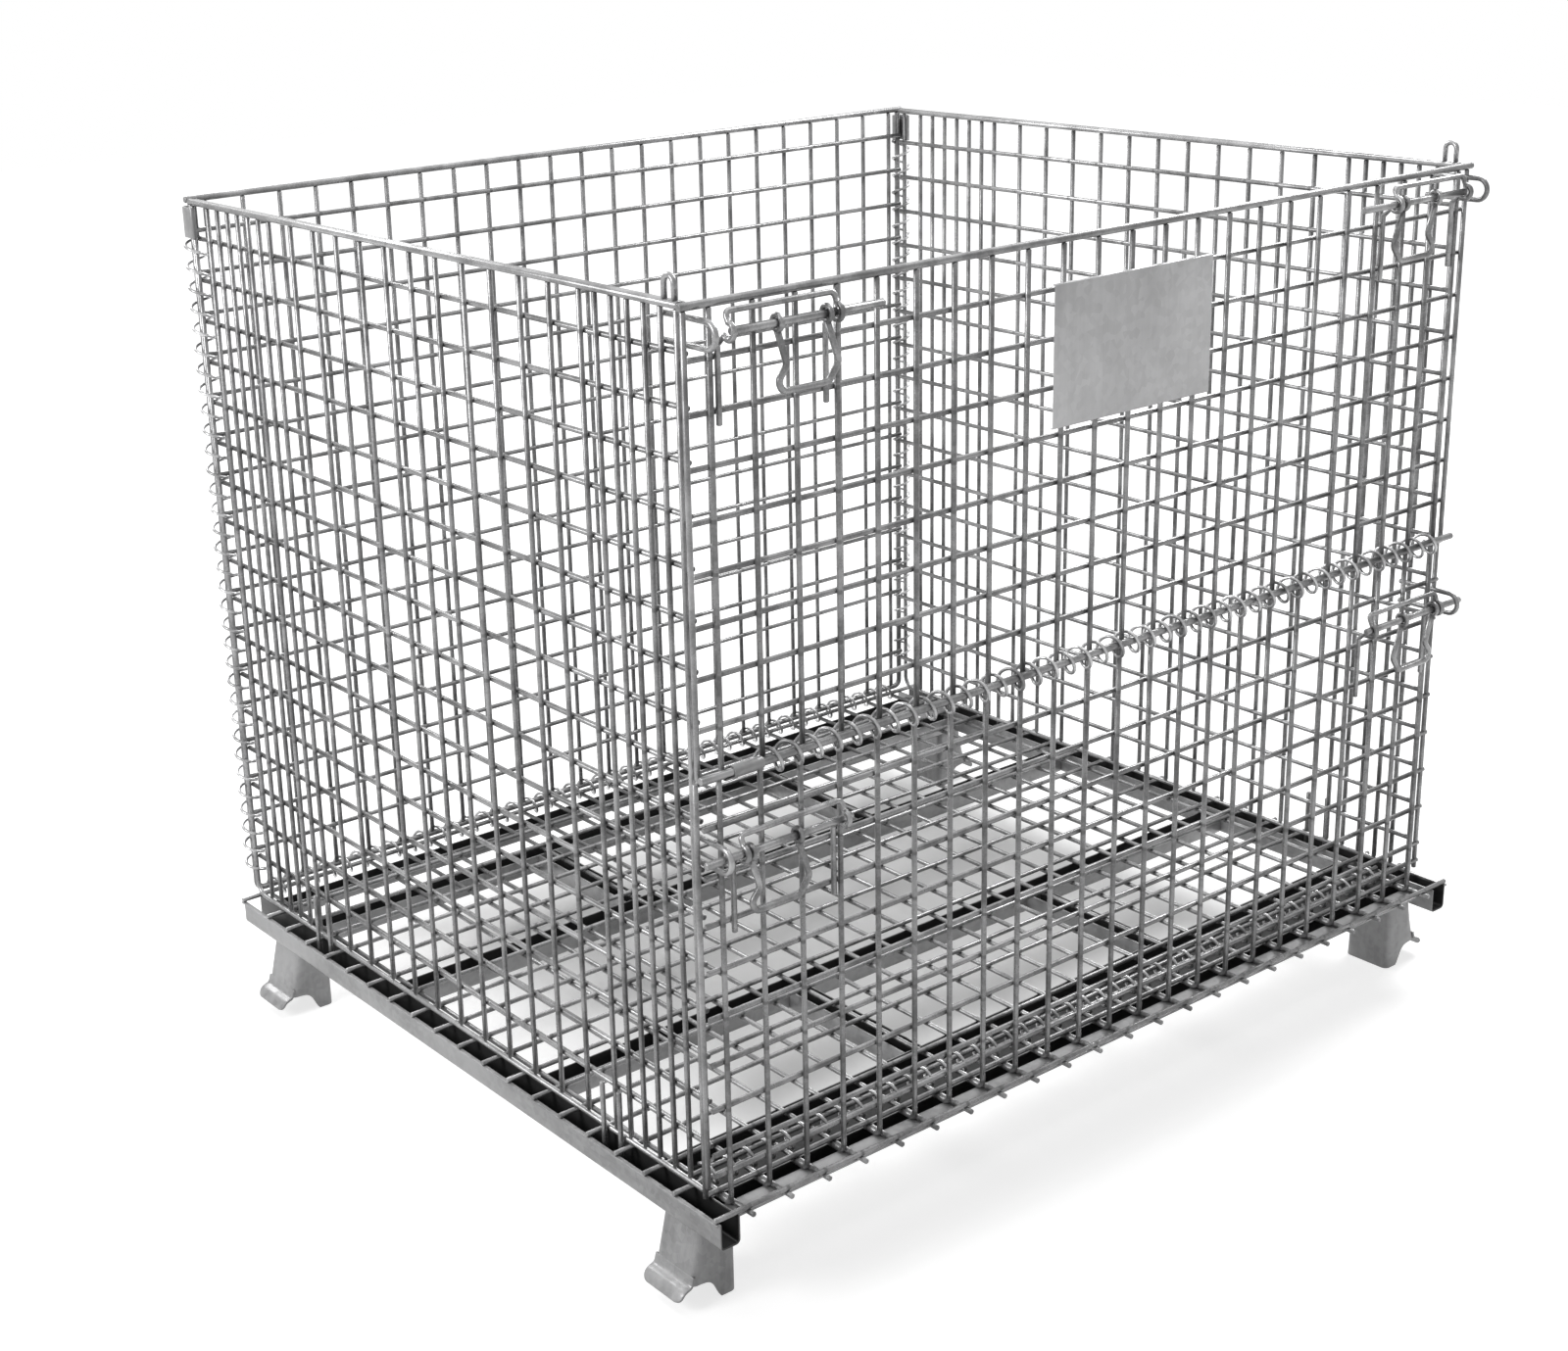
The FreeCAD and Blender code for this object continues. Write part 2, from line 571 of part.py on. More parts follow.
# ---- upper half of the front ---------------------------------------------------------
def upper_gate():
    """Upper gate: uprights, rows and frame rods, hinged on its lowest rod."""
    uprights = []
    z1 = UPPER_TOP_Z - ROD / 2
    for x in front_places():
        uprights.append(bar([(x, UPPER_WIRE_Y, UPPER_HINGE_Z - 1.5), (x, UPPER_WIRE_Y, z1)],
                            (0, 1, 0)))
    save("upper_gate_uprights", uprights)
    reach = GATE_HALF - ROD / 2 + 0.3
    rows = []
    for k in range(1, UPPER_ROWS + 1):
        z = UPPER_TOP_Z - k * MESH
        rows.append(bar([(-reach, UPPER_ROW_Y, z), (reach, UPPER_ROW_Y, z)], (0, 1, 0)))
    save("upper_gate_rows", rows)
    frame = [bar([(-GATE_HALF - 8, UPPER_ROD_Y, UPPER_TOP_Z),
                  (GATE_HALF + 10, UPPER_ROD_Y, UPPER_TOP_Z)], (0, 1, 0), ROD, ROD_SIDES),
             bar([(-GATE_HALF - 6, UPPER_HINGE_Y, UPPER_HINGE_Z),
                  (GATE_HALF + 20, UPPER_HINGE_Y, UPPER_HINGE_Z)], (0, 1, 0), ROD, ROD_SIDES)]
    for x in (-GATE_HALF, GATE_HALF):
        frame.append(bar([(x, UPPER_ROD_Y, UPPER_HINGE_Z - 1.5), (x, UPPER_ROD_Y, z1)],
                         (0, 1, 0), ROD, ROD_SIDES))
    save("upper_gate_frame", frame)


def label_plate():
    """Bare sheet plate with folded top and bottom lips, on the upper gate."""
    face = UPPER_WIRE_Y - WIRE / 2
    z0 = PLATE_TOP_Z - PLATE_HEIGHT
    x0 = -PLATE_WIDTH / 2
    lip = PLATE_LIP
    t = PLATE_SHEET
    outline = [(x0, face, z0), (x0, face - lip, z0), (x0, face - lip, z0 + t),
               (x0, face - t, z0 + t), (x0, face - t, PLATE_TOP_Z - t),
               (x0, face - lip, PLATE_TOP_Z - t), (x0, face - lip, PLATE_TOP_Z),
               (x0, face, PLATE_TOP_Z)]
    save("label_plate", [extruded(outline, (PLATE_WIDTH, 0, 0))])


# ---- latches ------------------------------------------------------------------------
def latch_bracket(wire_y, bolt_z):
    """One bent wire: leg, eye under and round the bolt, top bar, eye and leg."""
    y = wire_y - BOLT_STANDOFF
    ring = (ROD / 2 + CLEAR + WIRE / 2) / math.cos(math.radians(22.5))
    loop = []
    for angle in (-45, -90, -135, -180, -225, -270):
        a = math.radians(angle)
        loop.append((y + ring * math.cos(a), bolt_z + ring * math.sin(a)))
    rise = [(wire_y, bolt_z - BRACKET_LEG), (wire_y, bolt_z - 13.0)] + loop
    bar_y = y + 4.5
    bar_z = bolt_z + BRACKET_RISE
    path = [(EYE_OUT_X, py, pz) for py, pz in rise]
    path += [(EYE_OUT_X, bar_y, bar_z - 3.0), (EYE_OUT_X - 3.5, bar_y, bar_z)]
    path += [(EYE_IN_X + 3.5, bar_y, bar_z), (EYE_IN_X, bar_y, bar_z - 3.0)]
    path += [(EYE_IN_X, py, pz) for py, pz in reversed(rise)]
    return bar(path, (0, -1, 0))


def bolt(wire_y, bolt_z, drawn):
    """A round bolt, given engaged and moved back by `drawn`."""
    y = wire_y - BOLT_STANDOFF
    tip = BOLT_TIP_X - drawn
    return bar([(tip - BOLT_LENGTH, y, bolt_z), (tip, y, bolt_z)], (0, 0, 1), ROD, 12)


def handle(wire_y, bolt_z, drawn):
    """A bent handle hanging from two collars that turn on the bolt."""
    y = wire_y - BOLT_STANDOFF
    x = HANDLE_TOP_X - drawn
    w = HANDLE_WIDTH
    d = HANDLE_DROP
    inside = ROD / 2 + CLEAR
    outside = inside + COLLAR_WALL
    grip = [(x, y, bolt_z - inside - 0.6), (x - 11, y, bolt_z - 0.63 * d),
            (x, y, bolt_z - 0.84 * d), (x - 5, y, bolt_z - d),
            (x - w - 1, y, bolt_z - d), (x - w - 14, y, bolt_z - 0.72 * d),
            (x - w, y, bolt_z - inside - 0.6)]
    solids = [bar(rounded(grip, 7.0, 2), (0, -1, 0))]
    for cx in (x, x - w):
        half = COLLAR_LENGTH / 2
        solids.append(bar([(cx - half, y, bolt_z), (cx + half, y, bolt_z)], (0, 0, 1),
                          2 * outside, 8))
    body = solids[0].multiFuse(solids[1:])
    for cx in (x, x - w):
        bore = bar([(cx - COLLAR_LENGTH, y, bolt_z), (cx + COLLAR_LENGTH, y, bolt_z)],
                   (0, 0, 1), 2 * inside, 8)
        body = body.cut(bore)
    return body.removeSplitter().Solids[0]


def latches():
    """Four slide latches: upper ones drawn back, lower ones engaged."""
    for level, wire_y, bolt_z, drawn in (("upper", UPPER_WIRE_Y, UPPER_BOLT_Z, BOLT_THROW),
                                         ("lower", LOWER_WIRE_Y, LOWER_BOLT_Z, 0.0)):
        for name, sign in SIDES:
            stem = level + "_" + name
            save(stem + "_latch_bracket", side_of(sign, [latch_bracket(wire_y, bolt_z)]))
            save(stem + "_bolt", side_of(sign, [bolt(wire_y, bolt_z, drawn)]))
            save(stem + "_handle", side_of(sign, [handle(wire_y, bolt_z, drawn)]))


# ---- hinges -----------------------------------------------------------------------
FRONT_COIL_R = 11.3
MID_COIL_R = 12.9
BACK_COIL_R = 12.2
CORNER_COIL_R = 12.2
FRONT_COIL_PHASE = 58.0
MID_COIL_PHASE = 0.0
BACK_COIL_PHASE = 0.0
CORNER_COIL_PHASE = 145.0
SLEEVE_LENGTH = 37.0


def coil_hinges():
    """Spring coils that lace the panels together."""
    x0 = front_places()[0]
    long_turns = int(2 * -x0 / COIL_PITCH)
    front = spring_coil((x0, (FOOT_WIRE_Y - FIRST_Y) / 2, MAT_CROSS_Z), (1, 0, 0), (0, 1, 0),
                        FRONT_COIL_R, long_turns, FRONT_COIL_PHASE)
    save("front_floor_coil", [front])
    x1 = x0 + MESH
    mid = spring_coil((x1, (UPPER_HINGE_Y + LOWER_ROD_Y) / 2, (UPPER_HINGE_Z + LOWER_TOP_Z) / 2),
                      (1, 0, 0), (0, 1, 0), MID_COIL_R, long_turns - 2, MID_COIL_PHASE)
    save("gate_coil", [mid])
    edge_y = DEPTH / 2 - EDGE_WIRE_INSET
    back = spring_coil((x0, (BACK_ROD_Y + edge_y) / 2, (SIDE_BOTTOM_Z + MAT_CROSS_Z) / 2),
                       (1, 0, 0), (0, 1, 0), BACK_COIL_R, long_turns, BACK_COIL_PHASE)
    save("back_floor_coil", [back])
    bottom = SIDE_ROW_TOP - (SIDE_ROWS - 1) * MESH - MESH / 2
    turns = int((CLIP_TOP - CLIP_HEIGHT - 2 - bottom) / COIL_PITCH)
    corner = spring_coil(((SIDE_ROD_X + BACK_ROD_X) / 2, (SIDE_REAR_Y + BACK_ROD_Y) / 2, bottom),
                         (0, 0, 1), (1, 0, 0), CORNER_COIL_R, turns, CORNER_COIL_PHASE)
    for name, sign in SIDES:
        save(name + "_corner_coil", side_of(sign, [corner]))


def hinge_sleeve():
    """Folded sheet round both hinge rods, between the first two uprights."""
    top = (UPPER_HINGE_Y, UPPER_HINGE_Z)
    low = (LOWER_ROD_Y, LOWER_TOP_Z)
    lean = math.atan2(low[1] - top[1], low[0] - top[0])
    x0 = -GATE_HALF + MESH / 2 + (MESH - SLEEVE_LENGTH) / 2
    shells = []
    for radius in (ROD / 2 + CLEAR + 1.7, ROD / 2 + CLEAR + 0.2):
        outline = []
        for centre, start in ((top, lean + math.pi / 2), (low, lean - math.pi / 2)):
            for k in range(5):
                a = start + math.pi * k / 4
                outline.append((x0, centre[0] + radius * math.cos(a),
                                centre[1] + radius * math.sin(a)))
        shells.append(extruded(outline, (SLEEVE_LENGTH, 0, 0)))
    save("hinge_sleeve", [shells[0].cut(shells[1])])


base_rails()
base_channels()
feet()
floor_mat()
rail_studs()
side_panels()
keepers()
stacking_loops()
back_panel()
corner_clips()
lower_gate()
upper_gate()
label_plate()
latches()
coil_hinges()
hinge_sleeve()
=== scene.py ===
import math

import bmesh
import bpy
import numpy as np
from bpy.props import FloatProperty, FloatVectorProperty, IntProperty, PointerProperty
from mathutils import Matrix, Vector


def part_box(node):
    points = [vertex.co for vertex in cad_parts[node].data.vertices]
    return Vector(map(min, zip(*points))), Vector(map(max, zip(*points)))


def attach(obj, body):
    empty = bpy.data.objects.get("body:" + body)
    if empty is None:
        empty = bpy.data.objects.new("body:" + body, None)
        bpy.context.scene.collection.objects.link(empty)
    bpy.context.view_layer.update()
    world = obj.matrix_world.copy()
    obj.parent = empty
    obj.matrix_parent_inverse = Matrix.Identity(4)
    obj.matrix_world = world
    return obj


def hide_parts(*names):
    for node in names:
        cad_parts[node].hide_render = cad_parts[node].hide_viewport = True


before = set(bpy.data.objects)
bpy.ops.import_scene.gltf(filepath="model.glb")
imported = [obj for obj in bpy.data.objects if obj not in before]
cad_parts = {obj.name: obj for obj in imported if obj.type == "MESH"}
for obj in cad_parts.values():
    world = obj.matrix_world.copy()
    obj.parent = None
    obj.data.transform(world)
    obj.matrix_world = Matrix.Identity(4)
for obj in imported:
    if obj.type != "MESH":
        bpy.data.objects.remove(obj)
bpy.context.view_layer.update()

bl_info = {
    "name": "Wire Mesh Container",
    "version": (1, 0, 0),
    "blender": (4, 5, 0),
    "location": "View3D > Sidebar > Container",
    "description": "Dresses the collapsible wire mesh container in round zinc-plated wire",
    "category": "Object",
}

BODY = "container"
GATE = "upper_gate"
SIDES = (("left", -1.0), ("right", 1.0))
AXES = {"x": 0, "y": 1, "z": 2}
WIRE_CORNER = 1 / math.cos(math.pi / 6)   # corner reach of the CAD's six-sided wires
SIDE_POSTS = 18                           # evenly spaced uprights of a side panel
EXTRA_POSTS = 3                           # uprights added at each end of a side panel
ROD_PAST_ROWS = 0.0005                    # the back panel's upright rods past its rows
COIL_RADIUS = 0.0129                      # of the coils along the gates
BACK_COIL_RADIUS = 0.0122                 # of the coils along the back panel
COIL_SIDES = 8                            # faces round a coil's wire
CAMERA_TARGET = (-0.1652, 0.1011, 0.5121)
LAMPS = (("key", 1.8, (2.9, 0.4, 2.9)), ("back", 1.8, (-0.6, 3.1, 2.9)),
         ("side", 1.4, (-3.1, 0.3, 1.9)), ("overhead", 5.0, (0.2, 0.1, 3.5)))


# ---- sizes and colours a user may change ----------------------------------------
def length(name, words, value, least=0.0):
    """A length property in metres."""
    return FloatProperty(name=name, description=words, default=value, min=least, unit="LENGTH")


def amount(name, words, value):
    """A property of a plain number that isn't below zero."""
    return FloatProperty(name=name, description=words, default=value, min=0.0)


def angle(name, words, degrees):
    """An angle property, whose default is given in degrees."""
    return FloatProperty(name=name, description=words, default=math.radians(degrees),
                         subtype="ANGLE")


def faces_round(name, words, value, least, most):
    """A property that counts faces or steps."""
    return IntProperty(name=name, description=words, default=value, min=least, max=most)


def tone(name, words, value):
    """A colour property of one grey."""
    return FloatVectorProperty(name=name, description=words, subtype="COLOR", size=4,
                               min=0.0, max=1.0, default=(value, value, value * 1.01, 1.0))


class WireSizes(bpy.types.PropertyGroup):
    """Wire thicknesses, spacing and smoothness."""
    pitch: length("Mesh pitch", "Spacing of the mesh wires", 0.0508, 0.02)
    wire: length("Mesh wire", "Diameter of the mesh wire", 0.006, 0.002)
    rod: length("Rim rod", "Diameter of rim rods and bolts", 0.008, 0.003)
    coil_wire: length("Coil wire", "Diameter of the hinge coils' wire", 0.0039, 0.001)
    grip_wire: length("Handle wire", "Diameter of a latch handle's wire", 0.0068, 0.003)
    coil_pitch: length("Coil pitch", "Length of one turn of a hinge coil", 0.0254, 0.006)
    gate_shift: length("Gate shift", "How far the lower uprights stand to the left", 0.005)
    foot_forward: length("Foot wire forward", "How far the gate's foot wire is set forward", 0.012)
    end_out: length("End wires out", "How far the gates' left end wires stand outward", 0.003)
    end_in: length("End wires in", "How far the gates' right end wires stand inward", 0.008)
    bolt_cut: length("Bolt tips", "How much shorter a bolt's tip is than its stop", 0.018)
    coil_back: length("Coil set back", "Front floor coil behind the first cross wire", 0.0078)
    stud_gap: length("Stud gap", "Between the two studs of a pair", 0.030, 0.01)
    coil_steps: faces_round("Coil steps", "Steps in one turn of a hinge coil", 22, 8, 64)
    wire_sides: faces_round("Wire sides", "Faces round a mesh wire", 10, 6, 32)
    rod_sides: faces_round("Rod sides", "Faces round a rod, bolt or handle", 16, 8, 48)
    end_chamfer: length("Cut end chamfer", "Chamfer on cut wire ends", 0.0007)


class SheetSizes(bpy.types.PropertyGroup):
    """Thickness and bends of the pressed sheet."""
    sheet: length("Channel sheet", "Sheet of rails and channels", 0.0025, 0.0005)
    foot_sheet: length("Foot sheet", "Sheet of the pressed feet", 0.003, 0.0005)
    thin_sheet: length("Thin sheet", "Sheet of the plate and clips", 0.0015, 0.0005)
    bend: length("Bend radius", "Outside radius of a folded edge", 0.0045, 0.001)
    foot_corner: length("Foot corner", "Radius of a foot's upright edges", 0.006, 0.001)
    foot_spread: length("Foot spread", "How far a foot's walls bulge over its seat", 0.004)
    front_trough: length("Front trough", "Extra width of the channel by the front hinge", 0.053)
    edge: length("Edge round", "Rounding of cut sheet edges", 0.0005, 0.0001)


class ZincTones(bpy.types.PropertyGroup):
    """Greys of the zinc plating, and the painted shade inside the rails and channels."""
    wire_light: tone("Wire, bright", "Fresh plating on mesh wire", 0.36)
    wire_dark: tone("Wire, dull", "Weathered plating on mesh wire", 0.13)
    weld: tone("Weld", "Burnt plating where two wires are welded", 0.07)
    rod_light: tone("Rod, bright", "Plating on rim rods", 0.40)
    rod_dark: tone("Rod, dull", "Worn plating on rim rods", 0.17)
    latch_light: tone("Latch, bright", "Plating on bolts, brackets and handles", 0.42)
    latch_dark: tone("Latch, dull", "Worn plating on bolts, brackets and handles", 0.15)
    coil_light: tone("Coil, bright", "Plating on the hinge coils", 0.68)
    coil_dark: tone("Coil, dull", "Dull plating on the hinge coils", 0.22)
    sheet_light: tone("Sheet, bright", "Rolled zinc of rails and feet", 0.36)
    sheet_dark: tone("Sheet, dull", "Stained zinc of rails and feet", 0.20)
    # painted shade: a near-black grey laid inside the rails and channels where shadow falls, not a
    # colour of the zinc
    hollow_shade: tone("Painted hollow shade", "Dark inside of the rails and channels", 0.012)
    plate_light: tone("Plate, bright", "Bare label plate", 0.72)
    plate_dark: tone("Plate, dull", "Clouded patches on the label plate", 0.50)


class StageSizes(bpy.types.PropertyGroup):
    """Camera, lamps and floor."""
    azimuth: angle("Azimuth", "Camera direction round the container", -37.15)
    elevation: angle("Elevation", "Camera height angle", 18.4)
    roll: angle("Roll", "Turn of the camera about its view line", -1.97)
    distance: length("Distance", "Camera to its target", 2.9211)
    lens: amount("Lens", "Focal length in millimetres", 53.86)
    shift_x: FloatProperty(name="Shift X", description="Sideways lens shift", default=0.0662)
    shift_y: FloatProperty(name="Shift Y", description="Upright lens shift", default=-0.0369)
    world: amount("World light", "Light from the white surroundings", 0.12)
    key: amount("Key lamp", "Watts of the lamp on the right", 130.0)
    back: amount("Back lamp", "Watts of the lamp behind", 80.0)
    side: amount("Side lamp", "Watts of the lamp on the left", 60.0)
    overhead: amount("Overhead lamp", "Watts of the wide lamp above", 60.0)
    floor: FloatProperty(name="Floor", description="Grey of the pale floor", default=0.45,
                         min=0.0, max=1.0)
    glow: amount("Floor glow", "Added white where the floor is seen", 0.75)
    # the glow left under the container, a painted shadow
    shade: amount("Shade under", "Added white under the container", 0.16)


def sizes():
    return bpy.context.scene.container_wires


def sheets():
    return bpy.context.scene.container_sheets


def tones():
    return bpy.context.scene.container_tones


# ---- places read from the CAD frame -----------------------------------------------
def low(node, axis, inset=0.0):
    """Lowest coordinate of a CAD node along an axis, moved inwards."""
    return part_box(node)[0][AXES[axis]] + inset


def high(node, axis, inset=0.0):
    """Highest coordinate of a CAD node along an axis, moved inwards."""
    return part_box(node)[1][AXES[axis]] - inset


def middle(node, axis):
    """Middle of a CAD node along an axis."""
    return (low(node, axis) + high(node, axis)) / 2


def distances(node):
    """Nearest and farthest distance of a CAD node from the container's middle plane."""
    return sorted((abs(low(node, "x")), abs(high(node, "x"))))


def corner():
    """From the middle of a CAD mesh wire to its corner."""
    return sizes().wire / 2 * WIRE_CORNER


def evenly(node, axis):
    """Places from a node's lowest to its highest wire, one pitch apart."""
    pitch = sizes().pitch
    first = low(node, axis, corner())
    last = high(node, axis, corner())
    count = int(round((last - first) / pitch)) + 1
    return first + pitch * np.arange(count)


def back_rod_x():
    """Where the upright rods of the back panel stand, beside the ends of its rows."""
    return high("back_rows", "x") + ROD_PAST_ROWS


# ---- arrays and meshes ---------------------------------------------------------
def unit(v):
    """Vectors divided by their lengths."""
    v = np.asarray(v, float)
    return v / np.linalg.norm(v, axis=-1, keepdims=True)


def offsets(axis, values):
    """Offsets along one axis."""
    out = np.zeros((len(values), 3))
    out[:, AXES[axis]] = values
    return out


def crosswise(node, y, z, start=0.0, end=0.0):
    """A straight run over the width of a CAD node, cut shorter at its start and end."""
    return [(low(node, "x", start), y, z), (high(node, "x", end), y, z)]


def straight(places, start, end):
    """Straight bars: the same run from start to end at each place (an array of offsets)."""
    places = np.asarray(places, float)
    return np.stack([places + np.asarray(start), places + np.asarray(end)], axis=1)


def arc(x, y, z, radius, first, last, count):
    """Points P(a) = (x, y + r cos a, z + r sin a), where a runs from first to last."""
    a = np.linspace(first, last, count)
    return np.stack([np.full(count, x), y + radius * np.cos(a), z + radius * np.sin(a)], axis=-1)


def directions(line):
    """At each point of a line, the mean direction of its two runs and the cosine of the
    angle between that and a run."""
    step = unit(np.diff(line, axis=-2))
    before = np.concatenate([step[..., :1, :], step], axis=-2)
    after = np.concatenate([step, step[..., -1:, :]], axis=-2)
    along = unit(before + after)
    return along, (along * before).sum(-1, keepdims=True)


def run_length(line):
    """Distance along a line from its start to each of its points."""
    return np.concatenate([[0], np.cumsum(np.linalg.norm(np.diff(line, axis=0), axis=1))])


def at_lengths(s, reach, values):
    """Rows of values, given at the distances in reach, read off at the distances s."""
    return np.column_stack([np.interp(s, reach, column) for column in values.T])


def closed_quads(rows, columns):
    """Quads of a grid of points that closes on itself both ways."""
    i = np.arange(rows * columns).reshape(rows, columns)
    n = np.roll(i, -1, axis=0)
    faces = np.stack([i, n, np.roll(n, -1, axis=1), np.roll(i, -1, axis=1)], axis=-1)
    return [faces.reshape(-1, 4)]


def join(parts):
    """Several (vertices, faces) results as one."""
    verts, faces, count = [], [], 0
    for v, polygons in parts:
        verts.append(v)
        faces += [p + count for p in polygons]
        count += len(v)
    return np.concatenate(verts), faces


def rounded(path, radius, steps=6):
    """A path with each corner turned into an arc: point(s) = centre + (start sin((1-s)t) +
    end sin(s t)) / sin t, where t is the turn and s runs from 0 to 1 at every corner."""
    path = np.asarray(path, float)
    bend = path[1:-1]
    to_a = unit(path[:-2] - bend)
    to_c = unit(path[2:] - bend)
    half = np.arccos(np.clip((to_a * to_c).sum(-1), -1, 1))[:, None] / 2
    radius = np.broadcast_to(np.asarray(radius, float).reshape(-1, 1), half.shape)
    centre = bend + unit(to_a + to_c) * radius / np.sin(half)
    start = bend + to_a * radius / np.tan(half) - centre
    end = bend + to_c * radius / np.tan(half) - centre
    turn = (math.pi - 2 * half)[:, None]
    s = np.linspace(0, 1, steps + 1)[None, :, None]
    swept = (start[:, None] * np.sin((1 - s) * turn) + end[:, None] * np.sin(s * turn))
    swept = centre[:, None] + swept / np.sin(turn)
    return np.concatenate([path[:1], swept.reshape(-1, 3), path[-1:]])


def carried(points, u, w, radius, sides, chamfer):
    """Rings carried along bars: ring(i, a) = P(i) + r(i) (U(i) cos a + W(i) sin a). The end
    rings are drawn in by the chamfer and closed. Arrays are bars x stations x 3."""
    bars = points.shape[0]
    ahead = unit(points[:, 1] - points[:, 0])[:, None]
    behind = unit(points[:, -1] - points[:, -2])[:, None]
    if chamfer > 0:
        points = np.concatenate([points[:, :1], points[:, :1] + ahead * chamfer,
                                 points[:, 1:-1], points[:, -1:] - behind * chamfer,
                                 points[:, -1:]], axis=1)
        u = np.concatenate([u[:, :1], u, u[:, -1:]], axis=1)
        w = np.concatenate([w[:, :1], w, w[:, -1:]], axis=1)
    stations = points.shape[1]
    r = np.full(stations, radius)
    if chamfer > 0:
        r[[0, -1]] = radius - chamfer
    a = np.arange(sides) * 2 * math.pi / sides
    ring = (np.cos(a)[None, None, :, None] * u[:, :, None] +
            np.sin(a)[None, None, :, None] * w[:, :, None])
    verts = points[:, :, None] + r[None, :, None, None] * ring
    index = np.arange(bars * stations * sides).reshape(bars, stations, sides)
    around = np.roll(index, -1, axis=2)
    quads = np.stack([index[:, :-1], around[:, :-1], around[:, 1:], index[:, 1:]], axis=-1)
    caps = np.concatenate([index[:, 0, ::-1], index[:, -1]])
    return verts.reshape(-1, 3), [quads.reshape(-1, 4), caps]


def bars_along(points, side, radius, sides, chamfer):
    """Round bars bent in one plane. Side is the axis square to that plane; at a bend the
    ring leans into the mitre, so it is widened by one over the cosine of half the turn."""
    points = np.asarray(points, float)
    if points.ndim == 2:
        points = points[None]
    along, lean = directions(points)
    normal = np.broadcast_to(np.eye(3)[AXES[side]], points.shape)
    return carried(points, np.cross(normal, along) / lean, normal, radius, sides, chamfer)


def twisted(path, radius, sides, chamfer):
    """A round bar along a path that leaves its plane: each ring is square to the run's mean
    direction, and its first radius is the last ring's, laid into the new ring's plane."""
    along, _ = directions(path)
    u = np.zeros_like(along)
    u[0] = unit(np.cross(along[0], (0.31, 0.52, 0.79)))
    for k in range(1, len(along)):
        u[k] = unit(u[k - 1] - along[k] * (u[k - 1] @ along[k]))
    w = np.cross(along, u)
    return carried(path[None], u[None], w[None], radius, sides, chamfer)


def helix(start, axis, out, radius, turns, phase, hand):
    """A spring: P(t) = start + axis pitch t + radius (out cos 2 pi t + (axis x out) sin 2 pi t),
    carried by a circle that stays square to the wire."""
    s = sizes()
    axis = np.asarray(axis, float)
    out = np.asarray(out, float)
    third = np.cross(axis, out)
    t = np.linspace(0, turns, int(turns * s.coil_steps) + 1)[:, None]
    a = hand * 2 * math.pi * t + phase
    radial = out * np.cos(a) + third * np.sin(a)
    points = np.asarray(start) + axis * s.coil_pitch * t + radial * radius
    circling = hand * (third * np.cos(a) - out * np.sin(a))
    tangent = unit(axis * s.coil_pitch + circling * 2 * math.pi * radius)
    w = np.cross(tangent, radial)
    return carried(points[None], radial[None], w[None], s.coil_wire / 2, COIL_SIDES,
                   s.coil_wire * 0.15)


def eye_ring(x, y, z, radius, thick):
    """A ring round the bolt: P(a, b) = centre + (R + r cos b) radial(a) + r sin b along x."""
    sides, steps = 12, 24
    a = (np.arange(steps) * 2 * math.pi / steps)[:, None]
    b = (np.arange(sides) * 2 * math.pi / sides)[None, :]
    out = radius + thick * np.cos(b)
    verts = np.stack([x + thick * np.sin(b) + 0 * a, y + out * np.cos(a),
                      z + out * np.sin(a)], axis=-1)
    return verts.reshape(-1, 3), closed_quads(steps, sides)


def folded_sheet(path, thickness, axis, start, end, bend, steps=5):
    """A sheet folded along a path in one plane and drawn out along an axis: the outline is
    the path moved half a thickness to either side, and it is swept from start to end."""
    k = AXES[axis]
    others = [i for i in range(3) if i != k]
    flat = np.zeros((len(path), 3))
    flat[:, :2] = path
    line = rounded(flat, bend, steps)[:, :2]
    along, lean = directions(line)
    normal = np.stack([-along[:, 1], along[:, 0]], axis=-1) / lean
    verts = np.zeros((2, 2, len(line), 3))
    for side, sign in enumerate((0.5, -0.5)):
        for stop, value in enumerate((start, end)):
            verts[side, stop][:, others] = line + normal * thickness * sign
            verts[side, stop][:, k] = value
    i = np.arange(verts.size // 3).reshape(2, 2, len(line))
    faces = []
    for a, b in (((0, 0), (0, 1)), ((0, 1), (1, 1)), ((1, 1), (1, 0)), ((1, 0), (0, 0))):
        p, q = i[a], i[b]
        faces.append(np.stack([p[:-1], p[1:], q[1:], q[:-1]], axis=-1))
    for j in (0, -1):
        faces.append(np.array([[i[0, 0, j], i[0, 1, j], i[1, 1, j], i[1, 0, j]]]))
    return verts.reshape(-1, 3), faces


def make_object(name, verts, polygons, material, mend=False):
    """Put vertices and a list of (faces x corners) arrays into a mesh object."""
    mesh = bpy.data.meshes.new(name)
    verts = np.asarray(verts, np.float32).reshape(-1, 3)
    corners = np.concatenate([p.ravel() for p in polygons]).astype(np.int32)
    counts = np.concatenate([np.full(len(p), p.shape[1]) for p in polygons])
    starts = np.concatenate([[0], np.cumsum(counts)[:-1]]).astype(np.int32)
    mesh.vertices.add(len(verts))
    mesh.vertices.foreach_set("co", verts.ravel())
    mesh.loops.add(len(corners))
    mesh.loops.foreach_set("vertex_index", corners)
    mesh.polygons.add(len(counts))
    mesh.polygons.foreach_set("loop_start", starts)
    mesh.polygons.foreach_set("use_smooth", counts == 4)
    mesh.update(calc_edges=True)
    if mend:
        work = bmesh.new()
        work.from_mesh(mesh)
        bmesh.ops.remove_doubles(work, verts=work.verts, dist=1e-6)
        bmesh.ops.recalc_face_normals(work, faces=work.faces)
        work.to_mesh(mesh)
        work.free()
    if mesh.validate():
        raise RuntimeError(name + ": the mesh had faults")
    mesh.materials.append(material)
    obj = bpy.data.objects.new(name, mesh)
    bpy.context.scene.collection.objects.link(obj)
    return obj


